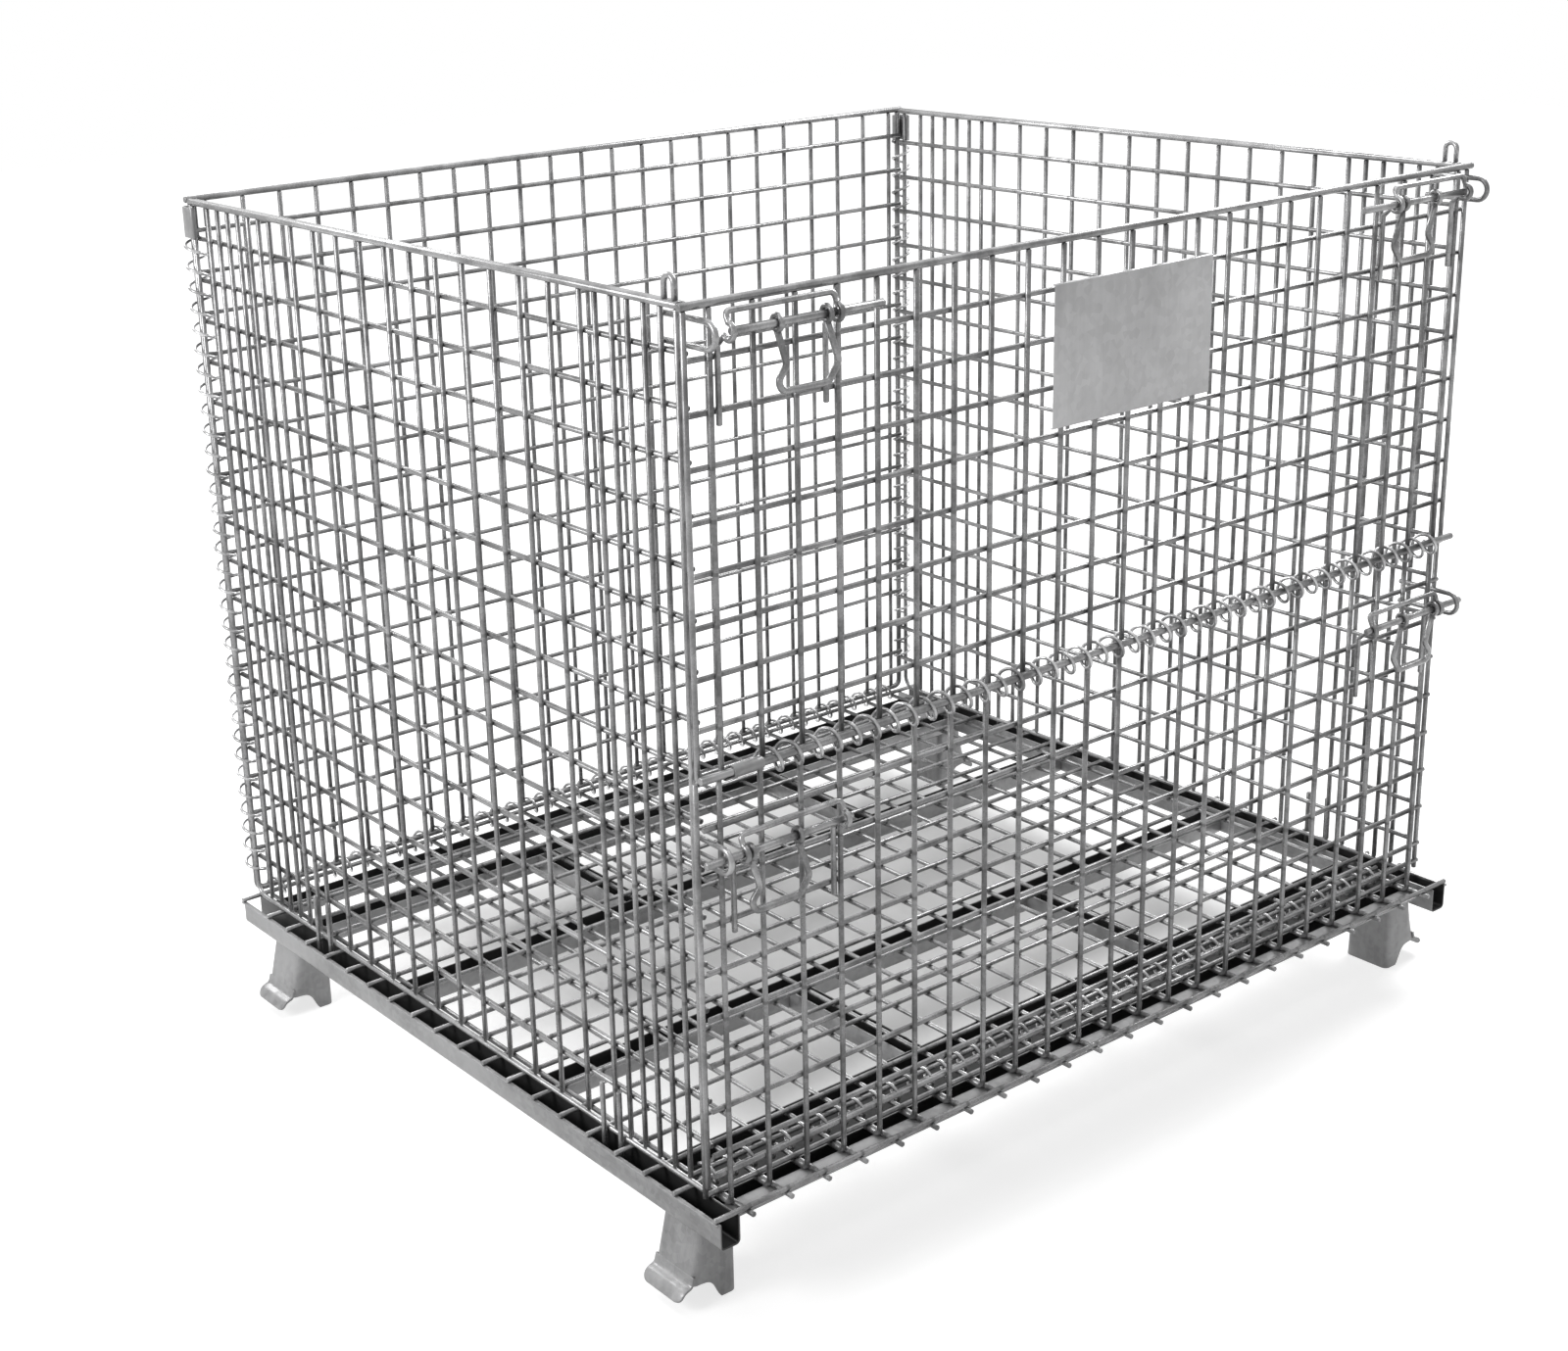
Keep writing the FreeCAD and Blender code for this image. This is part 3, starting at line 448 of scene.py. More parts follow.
def soften(obj, width):
    """A small Bevel on a piece's sharp edges."""
    bevel = obj.modifiers.new("edge", "BEVEL")
    bevel.width = width
    bevel.segments = 2
    bevel.limit_method = "ANGLE"
    bevel.angle_limit = math.radians(35.0)


def piece(name, shape, finish, body, node=None, edge=0.0):
    """One piece from its (vertices, faces): it rides on its body, names its finish slot and
    stands for its CAD node. A sheet piece also has its cut edges rounded by a Bevel."""
    obj = make_object(name, *shape, finish, mend=edge > 0)
    if edge > 0:
        soften(obj, edge)
    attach(obj, body)
    if node:
        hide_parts(node)


def folded_piece(name, node, paths, thickness, axis, bends, finish, edge, body=BODY,
                 steps=5):
    """One piece of sheet, folded along each path and drawn over the length of a CAD node."""
    span = low(node, axis), high(node, axis)
    parts = [folded_sheet(path, thickness, axis, *span, bends, steps) for path in paths]
    piece(name, join(parts), finish, body, node, edge)


def wires(name, points, side, finish, body=BODY, node=None):
    """One piece of round mesh wires."""
    s = sizes()
    shape = bars_along(points, side, s.wire / 2, s.wire_sides, s.end_chamfer)
    piece(name, shape, finish, body, node)


def grid_wires(name, node, across, along, places, finish, body=BODY):
    """Straight wires in the middle plane of a CAD node: they run along one axis over the
    node's whole length, and stand at places across another."""
    side = next(axis for axis in AXES if axis not in (across, along))
    start, end = np.zeros((2, 3))
    start[AXES[side]] = end[AXES[side]] = middle(node, side)
    start[AXES[along]], end[AXES[along]] = low(node, along), high(node, along)
    wires(name, straight(offsets(across, places), start, end), side, finish, body, node)


def rods(name, node, side, runs, finish, body=BODY):
    """One piece of round rods, from runs of (points, diameter)."""
    s = sizes()
    parts = [bars_along(points, side, thick / 2, s.rod_sides, s.end_chamfer)
             for points, thick in runs]
    piece(name, join(parts), finish, body, node)


# ---- finishes -------------------------------------------------------------------
class Nodes:
    """A small helper that adds nodes to a material or a world."""

    def __init__(self, owner, output):
        owner.use_nodes = True
        self.tree = owner.node_tree
        self.tree.nodes.clear()
        self.out = self.node(output)

    def feed(self, socket, value):
        """Link a socket to a node's output, or set its value."""
        if isinstance(value, bpy.types.NodeSocket):
            self.tree.links.new(value, socket)
        else:
            socket.default_value = value

    def node(self, kind, **inputs):
        made = self.tree.nodes.new(kind)
        for name, value in inputs.items():
            self.feed(made.inputs[name.replace("_", " ")], value)
        return made

    def math(self, operation, *values, kind="ShaderNodeMath"):
        made = self.node(kind)
        made.operation = operation
        for socket, value in zip(made.inputs, values):
            self.feed(socket, value)
        return made.outputs[0]

    def vector(self, operation, *values):
        return self.math(operation, *values, kind="ShaderNodeVectorMath")

    def spread(self, value, low, high, to_low=0.0, to_high=1.0):
        """A value spread from one range to another, smoothly and within its ends."""
        made = self.node("ShaderNodeMapRange", Value=value, From_Min=low, From_Max=high,
                         To_Min=to_low, To_Max=to_high)
        made.interpolation_type = "SMOOTHSTEP"
        return made.outputs["Result"]

    def mix(self, share, a, b):
        """Colour a turned to colour b by a share."""
        made = self.node("ShaderNodeMix")
        made.data_type = "RGBA"
        for index, value in ((0, share), (6, a), (7, b)):
            self.feed(made.inputs[index], value)
        return made.outputs[2]

    def seen(self):
        """One where a ray comes straight from the camera, a reflection or glass."""
        rays = self.node("ShaderNodeLightPath").outputs
        value = self.math("MAXIMUM", rays["Is Camera Ray"], rays["Is Glossy Ray"])
        return self.math("MAXIMUM", value, rays["Is Transmission Ray"])

    def show(self, shader):
        """Let the output show a shader."""
        self.feed(self.out.inputs["Surface"], shader.outputs[0])


class Finish(Nodes):
    """The nodes of one material, laid on Object coordinates."""

    def __init__(self, name):
        self.material = bpy.data.materials.new(name)
        super().__init__(self.material, "ShaderNodeOutputMaterial")
        self.place = self.node("ShaderNodeTexCoord").outputs["Object"]

    def stretched(self, scale):
        """Object coordinates stretched along the axes."""
        return self.node("ShaderNodeMapping", Vector=self.place, Scale=scale).outputs[0]

    def split(self, vector):
        return self.node("ShaderNodeSeparateXYZ", Vector=vector).outputs

    def noise(self, scale, detail=3.0, rough=0.55, vector=None):
        made = self.node("ShaderNodeTexNoise", Vector=vector or self.place, Scale=scale,
                         Detail=detail, Roughness=rough)
        return made.outputs["Fac"]

    def metal(self, colour, roughness, height, strength, bare):
        """Close the material with a bump and a part-metal shader, as dull zinc is."""
        bump = self.node("ShaderNodeBump", Height=height, Strength=strength, Distance=0.0003)
        self.show(self.node("ShaderNodeBsdfPrincipled", Base_Color=colour, Metallic=bare,
                            Roughness=roughness, Normal=bump.outputs[0]))
        return self.material


def zinc_wire(name, light, dark, crossing=None, bare=0.45):
    """Plated wire: cloudy from dull to bright, with burnt spots where wires cross. A spot is
    where the distance along an axis to the nearest of a row of crossings, one mesh pitch
    apart from the first, is small."""
    f = Finish(name)
    cloud = f.noise(22.0, 4.0, 0.6)
    fine = f.noise(420.0, 3.0, 0.6)
    share = f.spread(f.math("MULTIPLY_ADD", fine, 0.25, f.math("MULTIPLY", cloud, 0.85)),
                     0.36, 0.74)
    colour = f.mix(share, dark, light)
    rough = f.spread(cloud, 0.3, 0.7, 0.36, 0.22)
    height = f.math("MULTIPLY_ADD", fine, 0.4, f.noise(160.0, 2.0))
    if crossing:
        axis, first = crossing
        pitch = sizes().pitch
        reach = 0.0024 / pitch
        along = f.split(f.place)[AXES[axis]]
        steps = f.math("DIVIDE", f.math("SUBTRACT", along, first - pitch / 2), pitch)
        away = f.math("ABSOLUTE", f.math("SUBTRACT", f.math("FRACT", steps), 0.5))
        away = f.math("MULTIPLY_ADD", fine, 0.02, away)
        spot = f.spread(away, reach * 0.55 + 0.01, reach * 1.25 + 0.01, 1.0, 0.0)
        burnt = f.math("MULTIPLY", spot, f.spread(cloud, 0.25, 0.6, 0.25, 0.6))
        colour = f.mix(burnt, colour, tones().weld)
        rough = f.math("MULTIPLY_ADD", burnt, 0.18, rough)
    return f.metal(colour, rough, height, 0.12, bare)


def rolled_zinc(name, light, dark, along, streak=0.35, scale=1.0, hollow=None):
    """Rolled sheet: streaks along the rolling direction, small crystal patches and stains,
    and painted shade where the distance to the middle of a fold is less than half its width."""
    f = Finish(name)
    scale_along = [70.0 * scale] * 3
    scale_along[AXES[along]] = 5.0 * scale
    streaks = f.noise(1.0, 5.0, 0.65, f.stretched(scale_along))
    cloud = f.noise(9.0 * scale, 4.0, 0.6)
    cells = f.node("ShaderNodeTexVoronoi", Vector=f.place, Scale=150.0 * scale)
    patch = f.node("ShaderNodeSeparateColor", Color=cells.outputs["Color"]).outputs[0]
    value = f.math("MULTIPLY_ADD", streaks, streak, f.math("MULTIPLY", cloud, 0.6))
    value = f.math("MULTIPLY_ADD", patch, 0.09, value)
    colour = f.mix(f.spread(value, 0.30, 0.66), dark, light)
    stain = f.spread(f.noise(3.2 * scale, 6.0, 0.7), 0.56, 0.72, 0.0, 0.35)
    colour = f.mix(stain, colour, dark)
    # painted shade: between the walls of a fold the colour is turned almost to black
    if hollow:
        axis, centre, reach = hollow
        away = f.split(f.place)[AXES[axis]]
        if axis == "x":
            away = f.math("ABSOLUTE", away)
        away = f.math("ABSOLUTE", f.math("SUBTRACT", away, centre))
        hollow_shade = f.spread(away, reach - 0.0003, reach + 0.0003, 0.93, 0.0)
        colour = f.mix(hollow_shade, colour, tones().hollow_shade)
    rough = f.spread(f.math("ADD", streaks, f.math("MULTIPLY", stain, 0.6)),
                     0.3, 0.9, 0.33, 0.55)
    height = f.math("MULTIPLY_ADD", streaks, 0.7, f.noise(260.0, 2.0))
    return f.metal(colour, rough, height, 0.15, 0.35)


def mesh_finish(name, crossing=None):
    t = tones()
    return zinc_wire(name, t.wire_light, t.wire_dark, crossing)


def rod_finish(name):
    t = tones()
    return zinc_wire(name, t.rod_light, t.rod_dark)


def latch_finish(name):
    t = tones()
    return zinc_wire(name, t.latch_light, t.latch_dark, bare=0.6)


def sheet_finish(name, along, hollow=None):
    t = tones()
    return rolled_zinc(name, t.sheet_light, t.sheet_dark, along, hollow=hollow)


# ---- pieces -----------------------------------------------------------------------
class CONTAINER_OT_floor_mat(bpy.types.Operator):
    """Lay the floor mesh: long wires below, cross wires above them"""
    bl_idname = "container.floor_mat"
    bl_label = "Floor mat"

    def execute(self, context):
        ys = evenly("floor_cross_wires", "y")
        xs = evenly("floor_long_wires", "x")
        on_cross = mesh_finish("zinc mat cross wire", ("x", xs[0]))
        on_long = mesh_finish("zinc mat long wire", ("y", ys[0]))
        edge = "floor_edge_wires"
        ends = (low(edge, "y", corner()), high(edge, "y", corner()))
        grid_wires("mat_cross", "floor_cross_wires", "y", "x", ys, on_cross)
        grid_wires("mat_edges", edge, "y", "x", ends, on_cross)
        grid_wires("mat_long", "floor_long_wires", "x", "y", xs, on_long)
        return {"FINISHED"}


class CONTAINER_OT_side_panels(bpy.types.Operator):
    """Hang the two side panels with their bent rims and the studs beside them"""
    bl_idname = "container.side_panels"
    bl_label = "Side panels"

    def execute(self, context):
        pitch = sizes().pitch
        node = "left_side_uprights"
        regular = high(node, "y", corner()) - pitch * np.arange(SIDE_POSTS)
        extra = low(node, "y", corner()) + pitch * np.arange(EXTRA_POSTS)
        ys = np.concatenate([regular, extra, -extra])
        zs = evenly("left_side_rows", "z")
        at_rows = mesh_finish("zinc side upright", ("z", zs[0]))
        at_posts = mesh_finish("zinc side row", ("y", regular[-1]))
        rim_finish = rod_finish("zinc side rim")
        for name, sign in SIDES:
            grid_wires(name + "_posts", name + "_side_uprights", "y", "z", ys, at_rows)
            grid_wires(name + "_rows", name + "_side_rows", "z", "y", zs, at_posts)
            self.rim(name, sign, rim_finish)
        self.studs()
        return {"FINISHED"}

    def rim(self, name, sign, finish):
        """A bent wire down the back and along the bottom, a front upright, the top rail and
        the wire that runs inside it."""
        s = sizes()
        node = name + "_side_rim"
        half = s.rod / 2
        x = middle(node, "x")
        front, rear = low(node, "y", half), high(name + "_side_rows", "y", s.wire / 2)
        bottom, top = low(node, "z", half), high(node, "z", half)
        behind_post, over_rail, past_rear, bend = 0.002, 0.001, 0.003, 0.018
        bent = rounded([(x, front + behind_post, bottom), (x, rear, bottom),
                        (x, rear, top - half)], bend, 8)
        post = [(x, front, high(name + "_rail", "z") + over_rail), (x, front, top - half)]
        rail = [(x, low(node, "y"), top), (x, high(node, "y"), top)]
        rods(name + "_rim", node, "x", ((bent, s.wire), (post, s.wire), (rail, s.rod)), finish)
        inner = x - sign * (half + s.wire / 2)
        wires(name + "_inner_top_wire",
              [(inner, low(node, "y"), top), (inner, rear + past_rear, top)], "x", finish)

    def studs(self):
        """Pairs of short uprights beside the rails."""
        s = sizes()
        node = "rail_studs"
        x = high(node, "x", s.wire / 2)
        outer = high(node, "y", corner())
        places = [(sx * x, sy * y, 0.0) for _, sx in SIDES for sy in (-1, 1)
                  for y in (outer - s.stud_gap, outer)]
        wires("studs", straight(places, (0, 0, low(node, "z")), (0, 0, high(node, "z"))),
              "x", mesh_finish("zinc stud"), node=node)


class CONTAINER_OT_back_panel(bpy.types.Operator):
    """Hang the back panel and its rim"""
    bl_idname = "container.back_panel"
    bl_label = "Back panel"

    def execute(self, context):
        rod = sizes().rod
        xs = evenly("back_uprights", "x")
        zs = evenly("back_rows", "z")
        grid_wires("back_posts", "back_uprights", "x", "z", xs,
                   mesh_finish("zinc back upright", ("z", zs[0])))
        grid_wires("back_cross", "back_rows", "z", "x", zs,
                   mesh_finish("zinc back row", ("x", xs[0])))
        rim = "back_rim"
        x, y = back_rod_x(), middle(rim, "y")
        bottom, top = low(rim, "z", rod / 2), high(rim, "z", rod / 2)
        under = top - rod / 2
        bent = rounded([(-x, y, under), (-x, y, bottom), (x, y, bottom), (x, y, under)], 0.010, 6)
        rods("back_frame", rim, "y", ((bent, rod), (crosswise(rim, y, top), rod)),
             rod_finish("zinc back rim"))
        return {"FINISHED"}


def gate_ends(y, bottom, top):
    """The upright wires at the two ends of a gate."""
    s = sizes()
    x = high("lower_gate_frame", "x", s.rod / 2)
    return straight(offsets("x", (-x - s.end_out, x - s.end_in)), (0, y, bottom), (0, y, top))


class CONTAINER_OT_lower_gate(bpy.types.Operator):
    """Stand the lower half of the front, with its L-footed uprights"""
    bl_idname = "container.lower_gate"
    bl_label = "Lower gate"

    def execute(self, context):
        s = sizes()
        up, row, node, foot = ("lower_gate_uprights", "lower_gate_rows", "lower_gate_frame",
                               "lower_gate_foot_wire")
        xs = evenly(up, "x") - s.gate_shift
        y = low(up, "y", s.wire / 2)
        clear, foot_bend, least_gap = 0.0003, 0.007, 0.02
        leg = high("front_edge_channel", "z") + s.wire / 2 + clear
        hook_y = middle(foot, "y") - s.foot_forward
        path = rounded([(0, y, high(up, "z")), (0, y, leg), (0, hook_y + s.wire / 2, leg)],
                       foot_bend, 5)
        top_row, sill = high(row, "z", corner()), low(row, "z", corner())
        count = int((top_row - sill - least_gap) / s.pitch) + 1
        zs = np.append(top_row - s.pitch * np.arange(count), sill)
        wires("lower_posts", offsets("x", xs)[:, None] + path[None], "x",
              mesh_finish("zinc lower upright", ("z", top_row)), node=up)
        grid_wires("lower_rows", row, "z", "x", zs,
                   mesh_finish("zinc lower row", ("x", xs[0])))
        y = middle(node, "y")
        x, top = high(node, "x", s.rod / 2), high(node, "z", s.rod / 2)
        rods("lower_frame", node, "y", (([(-x, y, top), (x, y, top)], s.rod),
                                        (gate_ends(y, low(node, "z"), top), s.wire)),
             rod_finish("zinc lower frame"))
        wires("lower_foot_wire", crosswise(foot, hook_y, middle(foot, "z")), "z",
              mesh_finish("zinc foot wire", ("x", xs[0])), node=foot)
        return {"FINISHED"}


class CONTAINER_OT_upper_gate(bpy.types.Operator):
    """Hang the upper half of the front, which drops on its lowest rod"""
    bl_idname = "container.upper_gate"
    bl_label = "Upper gate"

    def execute(self, context):
        s = sizes()
        up, row, node = "upper_gate_uprights", "upper_gate_rows", "upper_gate_frame"
        xs = evenly(up, "x")
        zs = evenly(row, "z")
        grid_wires("upper_posts", up, "x", "z", xs,
                   mesh_finish("zinc upper upright", ("z", zs[0])), GATE)
        grid_wires("upper_rows", row, "z", "x", zs,
                   mesh_finish("zinc upper row", ("x", xs[0])), GATE)
        hinge_y, hinge_z = low(node, "y", s.rod / 2), low(node, "z", s.rod / 2)
        y = middle(up, "y") + (s.rod - s.wire) / 2
        top = high(node, "z", s.rod / 2)
        top_cut, hinge_start, hinge_cut = 0.019, 0.002, 0.018
        runs = [crosswise(node, y, top, end=top_cut),
                crosswise(node, hinge_y, hinge_z, hinge_start, hinge_cut)]
        ends = gate_ends(y, low(up, "z"), high(up, "z"))
        rods("upper_frame", node, "y", ((runs, s.rod), (ends, s.wire)),
             rod_finish("zinc gate frame"), GATE)
        return {"FINISHED"}


class CONTAINER_OT_label_plate(bpy.types.Operator):
    """Fold the bare sheet plate on the upper gate"""
    bl_idname = "container.label_plate"
    bl_label = "Label plate"

    def execute(self, context):
        node = "label_plate"
        t = sheets().thin_sheet
        back, face = high(node, "y"), low(node, "y", t / 2)
        bottom, top = low(node, "z", t / 2), high(node, "z", t / 2)
        path = [(back, bottom), (face, bottom), (face, top), (back, top)]
        finish = rolled_zinc("bare plate zinc", tones().plate_light, tones().plate_dark,
                             "z", 0.25, 0.8)
        bend, edge = 0.0012, 0.0003
        folded_piece("bare_plate", node, [path], t, "x", bend, finish, edge,
                     GATE, 4)
        return {"FINISHED"}


class CONTAINER_OT_keepers(bpy.types.Operator):
    """Bend the bolt keepers and the stacking loops on the side panels"""
    bl_idname = "container.keepers"
    bl_label = "Keepers and stacking loops"

    def execute(self, context):
        s = sizes()
        finish = latch_finish("zinc keeper")
        radius = 0.0125
        for name, _ in SIDES:
            node = name + "_keepers"
            x, back = middle(node, "x"), high(node, "y")
            paths = []
            for level in ("upper", "lower"):
                bolt = level + "_" + name + "_bolt"
                y, z = middle(bolt, "y"), middle(bolt, "z")
                nose = arc(x, y, z, radius, math.pi / 2, 3 * math.pi / 2, 15)
                paths.append(np.concatenate([[(x, back, z + radius)], nose,
                                             [(x, back, z - radius)]]))
            rods(name + "_bolt_keepers", node, "x", ((np.array(paths), s.wire),), finish)
        node = "stacking_loops"
        r = (high(node, "y") - low(node, "y")) / 2 - corner()
        y, base = middle(node, "y"), low(node, "z")
        crown = high(node, "z") - s.wire / 2 - r
        loops = []
        for _, sign in SIDES:
            x = sign * high(node, "x", s.wire / 2)
            loops.append(np.concatenate([[(x, y - r, base)], arc(x, y, crown, r, math.pi, 0, 13),
                                         [(x, y + r, base)]]))
        shape = bars_along(np.array(loops), "x", s.wire / 2, s.rod_sides, 0.0)
        piece("loops", shape, finish, BODY, node)
        return {"FINISHED"}


class CONTAINER_OT_latches(bpy.types.Operator):
    """Bend four latch brackets, with their round bolts and hanging handles"""
    bl_idname = "container.latches"
    bl_label = "Slide latches"

    def execute(self, context):
        wire = sizes().wire
        self.bracket_finish = latch_finish("zinc bracket")
        self.bolt_finish = latch_finish("zinc bolt")
        self.handle_finish = latch_finish("zinc handle")
        for level, wire_y, body in (
                ("upper", middle("upper_gate_uprights", "y"), GATE),
                ("lower", low("lower_gate_uprights", "y", wire / 2), BODY)):
            for name, sign in SIDES:
                stem = level + "_" + name
                y, z = middle(stem + "_bolt", "y"), middle(stem + "_bolt", "z")
                self.bracket(stem, sign, y, z, wire_y, body)
                self.bolt(stem, sign, y, z)
                self.handle(stem, sign, y, z)
        return {"FINISHED"}

    def bracket(self, stem, sign, y, z, wire_y, body):
        """Leg, eye under the bolt and round it, top bar, second eye and leg."""
        s = sizes()
        play, neck, bar_out, bar_up, bar_bend = 0.0009, 0.0145, 0.0045, 0.018, 0.005
        node = stem + "_latch_bracket"
        inside, outside = distances(node)
        inside, outside = inside + s.wire / 2, outside - s.wire / 2
        ring = s.rod / 2 + play + s.wire / 2
        eye = arc(outside, y, z, ring, math.radians(-35), math.radians(-270), 15)
        rise = np.array([(outside, wire_y, low(node, "z")), (outside, wire_y, z - neck)])
        first = np.concatenate([rise, eye])
        last = first[::-1].copy()
        last[:, 0] = inside
        bar_y, bar_z = y + bar_out, z + bar_up
        turn = rounded([first[-1], (outside, bar_y, bar_z), (inside, bar_y, bar_z), last[0]],
                       bar_bend, 5)
        path = np.concatenate([first[:-1], turn, last[1:]])
        path[:, 0] *= sign
        piece(stem + "_bracket", twisted(path, s.wire / 2, s.rod_sides, s.end_chamfer),
              self.bracket_finish, body, node)

    def bolt(self, stem, sign, y, z):
        """A round bar whose tip ends in the keeper."""
        s = sizes()
        node = stem + "_bolt"
        inside, outside = distances(node)
        run = [(sign * inside, y, z), (sign * (outside - s.bolt_cut), y, z)]
        piece(stem + "_slide_bolt", bars_along(run, "z", s.rod / 2, 24, 0.0012),
              self.bolt_finish, stem + "_bolt_body", node)

    def handle(self, stem, sign, y, z):
        """A grip that hangs from two eyes turned round the bolt."""
        s = sizes()
        node = stem + "_handle"
        inset, play, eye_wire, bend = 0.004, 0.0030, 0.0027, 0.008
        top = distances(node)[1] - inset
        eye = s.rod / 2 + play
        w, d = 0.060, 0.065
        grip = np.array([(0, -eye), (-0.011, -0.63 * d), (0, -0.84 * d), (-0.005, -d),
                         (-w - 0.001, -d), (-w - 0.014, -0.72 * d), (-w, -eye)])
        flat = np.column_stack([top + grip[:, 0], np.full(len(grip), y), z + grip[:, 1]])
        path = rounded(flat, bend, 6)
        path[:, 0] *= sign
        parts = [bars_along(path, "y", s.grip_wire / 2, s.rod_sides, 0.0)]
        parts += [eye_ring(sign * x, y, z, eye, eye_wire) for x in (top, top - w)]
        piece(stem + "_grip", join(parts), self.handle_finish, stem + "_handle_body",
              node)


class CONTAINER_OT_coil_hinges(bpy.types.Operator):
    """Wind the spring coils that lace the panels together, and the hinge sleeve"""
    bl_idname = "container.coil_hinges"
    bl_label = "Coil hinges"

    def execute(self, context):
        s = sizes()
        t = tones()
        half = s.rod / 2
        self.finish = zinc_wire("zinc coil", t.coil_light, t.coil_dark, bare=0.7)
        first = low("floor_long_wires", "x", corner())
        turns = int(round(-2 * first / s.coil_pitch))
        cross_y = low("floor_cross_wires", "y", corner())
        cross_z = middle("floor_cross_wires", "z")
        self.coil("floor_coil_front", "front_floor_coil",
                  (first, cross_y + s.coil_back, cross_z), COIL_RADIUS, turns, 58.0)
        pin_y = cross_y + 2 * s.coil_back
        wires("front_hinge_wire", crosswise("front_inner_channel", pin_y, cross_z), "z",
              mesh_finish("zinc hinge wire"))
        upper = low("upper_gate_frame", "y", half), low("upper_gate_frame", "z", half)
        lower = middle("lower_gate_frame", "y"), high("lower_gate_frame", "z", half)
        self.coil("gate_hinge_coil", "gate_coil",
                  (first + s.pitch, (upper[0] + lower[0]) / 2, (upper[1] + lower[1]) / 2),
                  COIL_RADIUS, turns - 2, 0.0)
        edge_y = high("floor_edge_wires", "y", corner())
        rim_y = middle("back_rim", "y")
        self.coil("floor_coil_back", "back_floor_coil",
                  (first, (rim_y + edge_y) / 2, (low("back_rim", "z", half) + cross_z) / 2),
                  BACK_COIL_RADIUS, turns, 0.0)
        side_y = high("left_side_rows", "y", s.wire / 2)
        inset = 0.0027
        bottom = low("left_corner_coil", "z", inset)
        top = high("left_corner_coil", "z", inset)
        count = int(round((top - bottom) / s.coil_pitch))
        for name, sign in SIDES:
            x = (middle(name + "_side_rim", "x") * sign + back_rod_x()) / 2
            self.coil(name + "_corner_hinge", name + "_corner_coil",
                      (sign * x, (side_y + rim_y) / 2, bottom), BACK_COIL_RADIUS, count,
                      sign * 145.0, (0, 0, 1), (sign, 0, 0), sign)
        self.sleeve(np.array(upper), np.array(lower))
        return {"FINISHED"}

    def coil(self, name, node, start, radius, turns, phase, axis=(1, 0, 0), out=(0, 1, 0),
             hand=1.0):
        """One coil, whose first turn begins at a phase in degrees."""
        shape = helix(start, axis, out, radius, turns, math.radians(phase), hand)
        piece(name, shape, self.finish, BODY, node)

    def sleeve(self, upper, lower):
        """A flat-sided tube round both rods: its section is a circle stretched along the
        line that joins them."""
        node = "hinge_sleeve"
        play, edge = 0.0008, 0.0004
        hole = sizes().rod / 2 + play
        along = unit(lower - upper)
        across = np.array([-along[1], along[0]])
        a = np.linspace(math.pi / 2, 3 * math.pi / 2, 12)
        cap = np.cos(a)[:, None] * along + np.sin(a)[:, None] * across
        inner, outer = [np.concatenate([upper + r * cap, lower - r * cap])
                        for r in (hole, hole + sheets().thin_sheet)]
        x0, x1 = low(node, "x"), high(node, "x")
        verts = np.array([np.column_stack([np.full(len(ring), x), ring]) for ring, x in
                          ((outer, x0), (outer, x1), (inner, x1), (inner, x0))])
        piece("coil_sleeve", (verts.reshape(-1, 3), closed_quads(4, len(inner))),
              sheet_finish("sleeve zinc", "x"), BODY, node, edge)


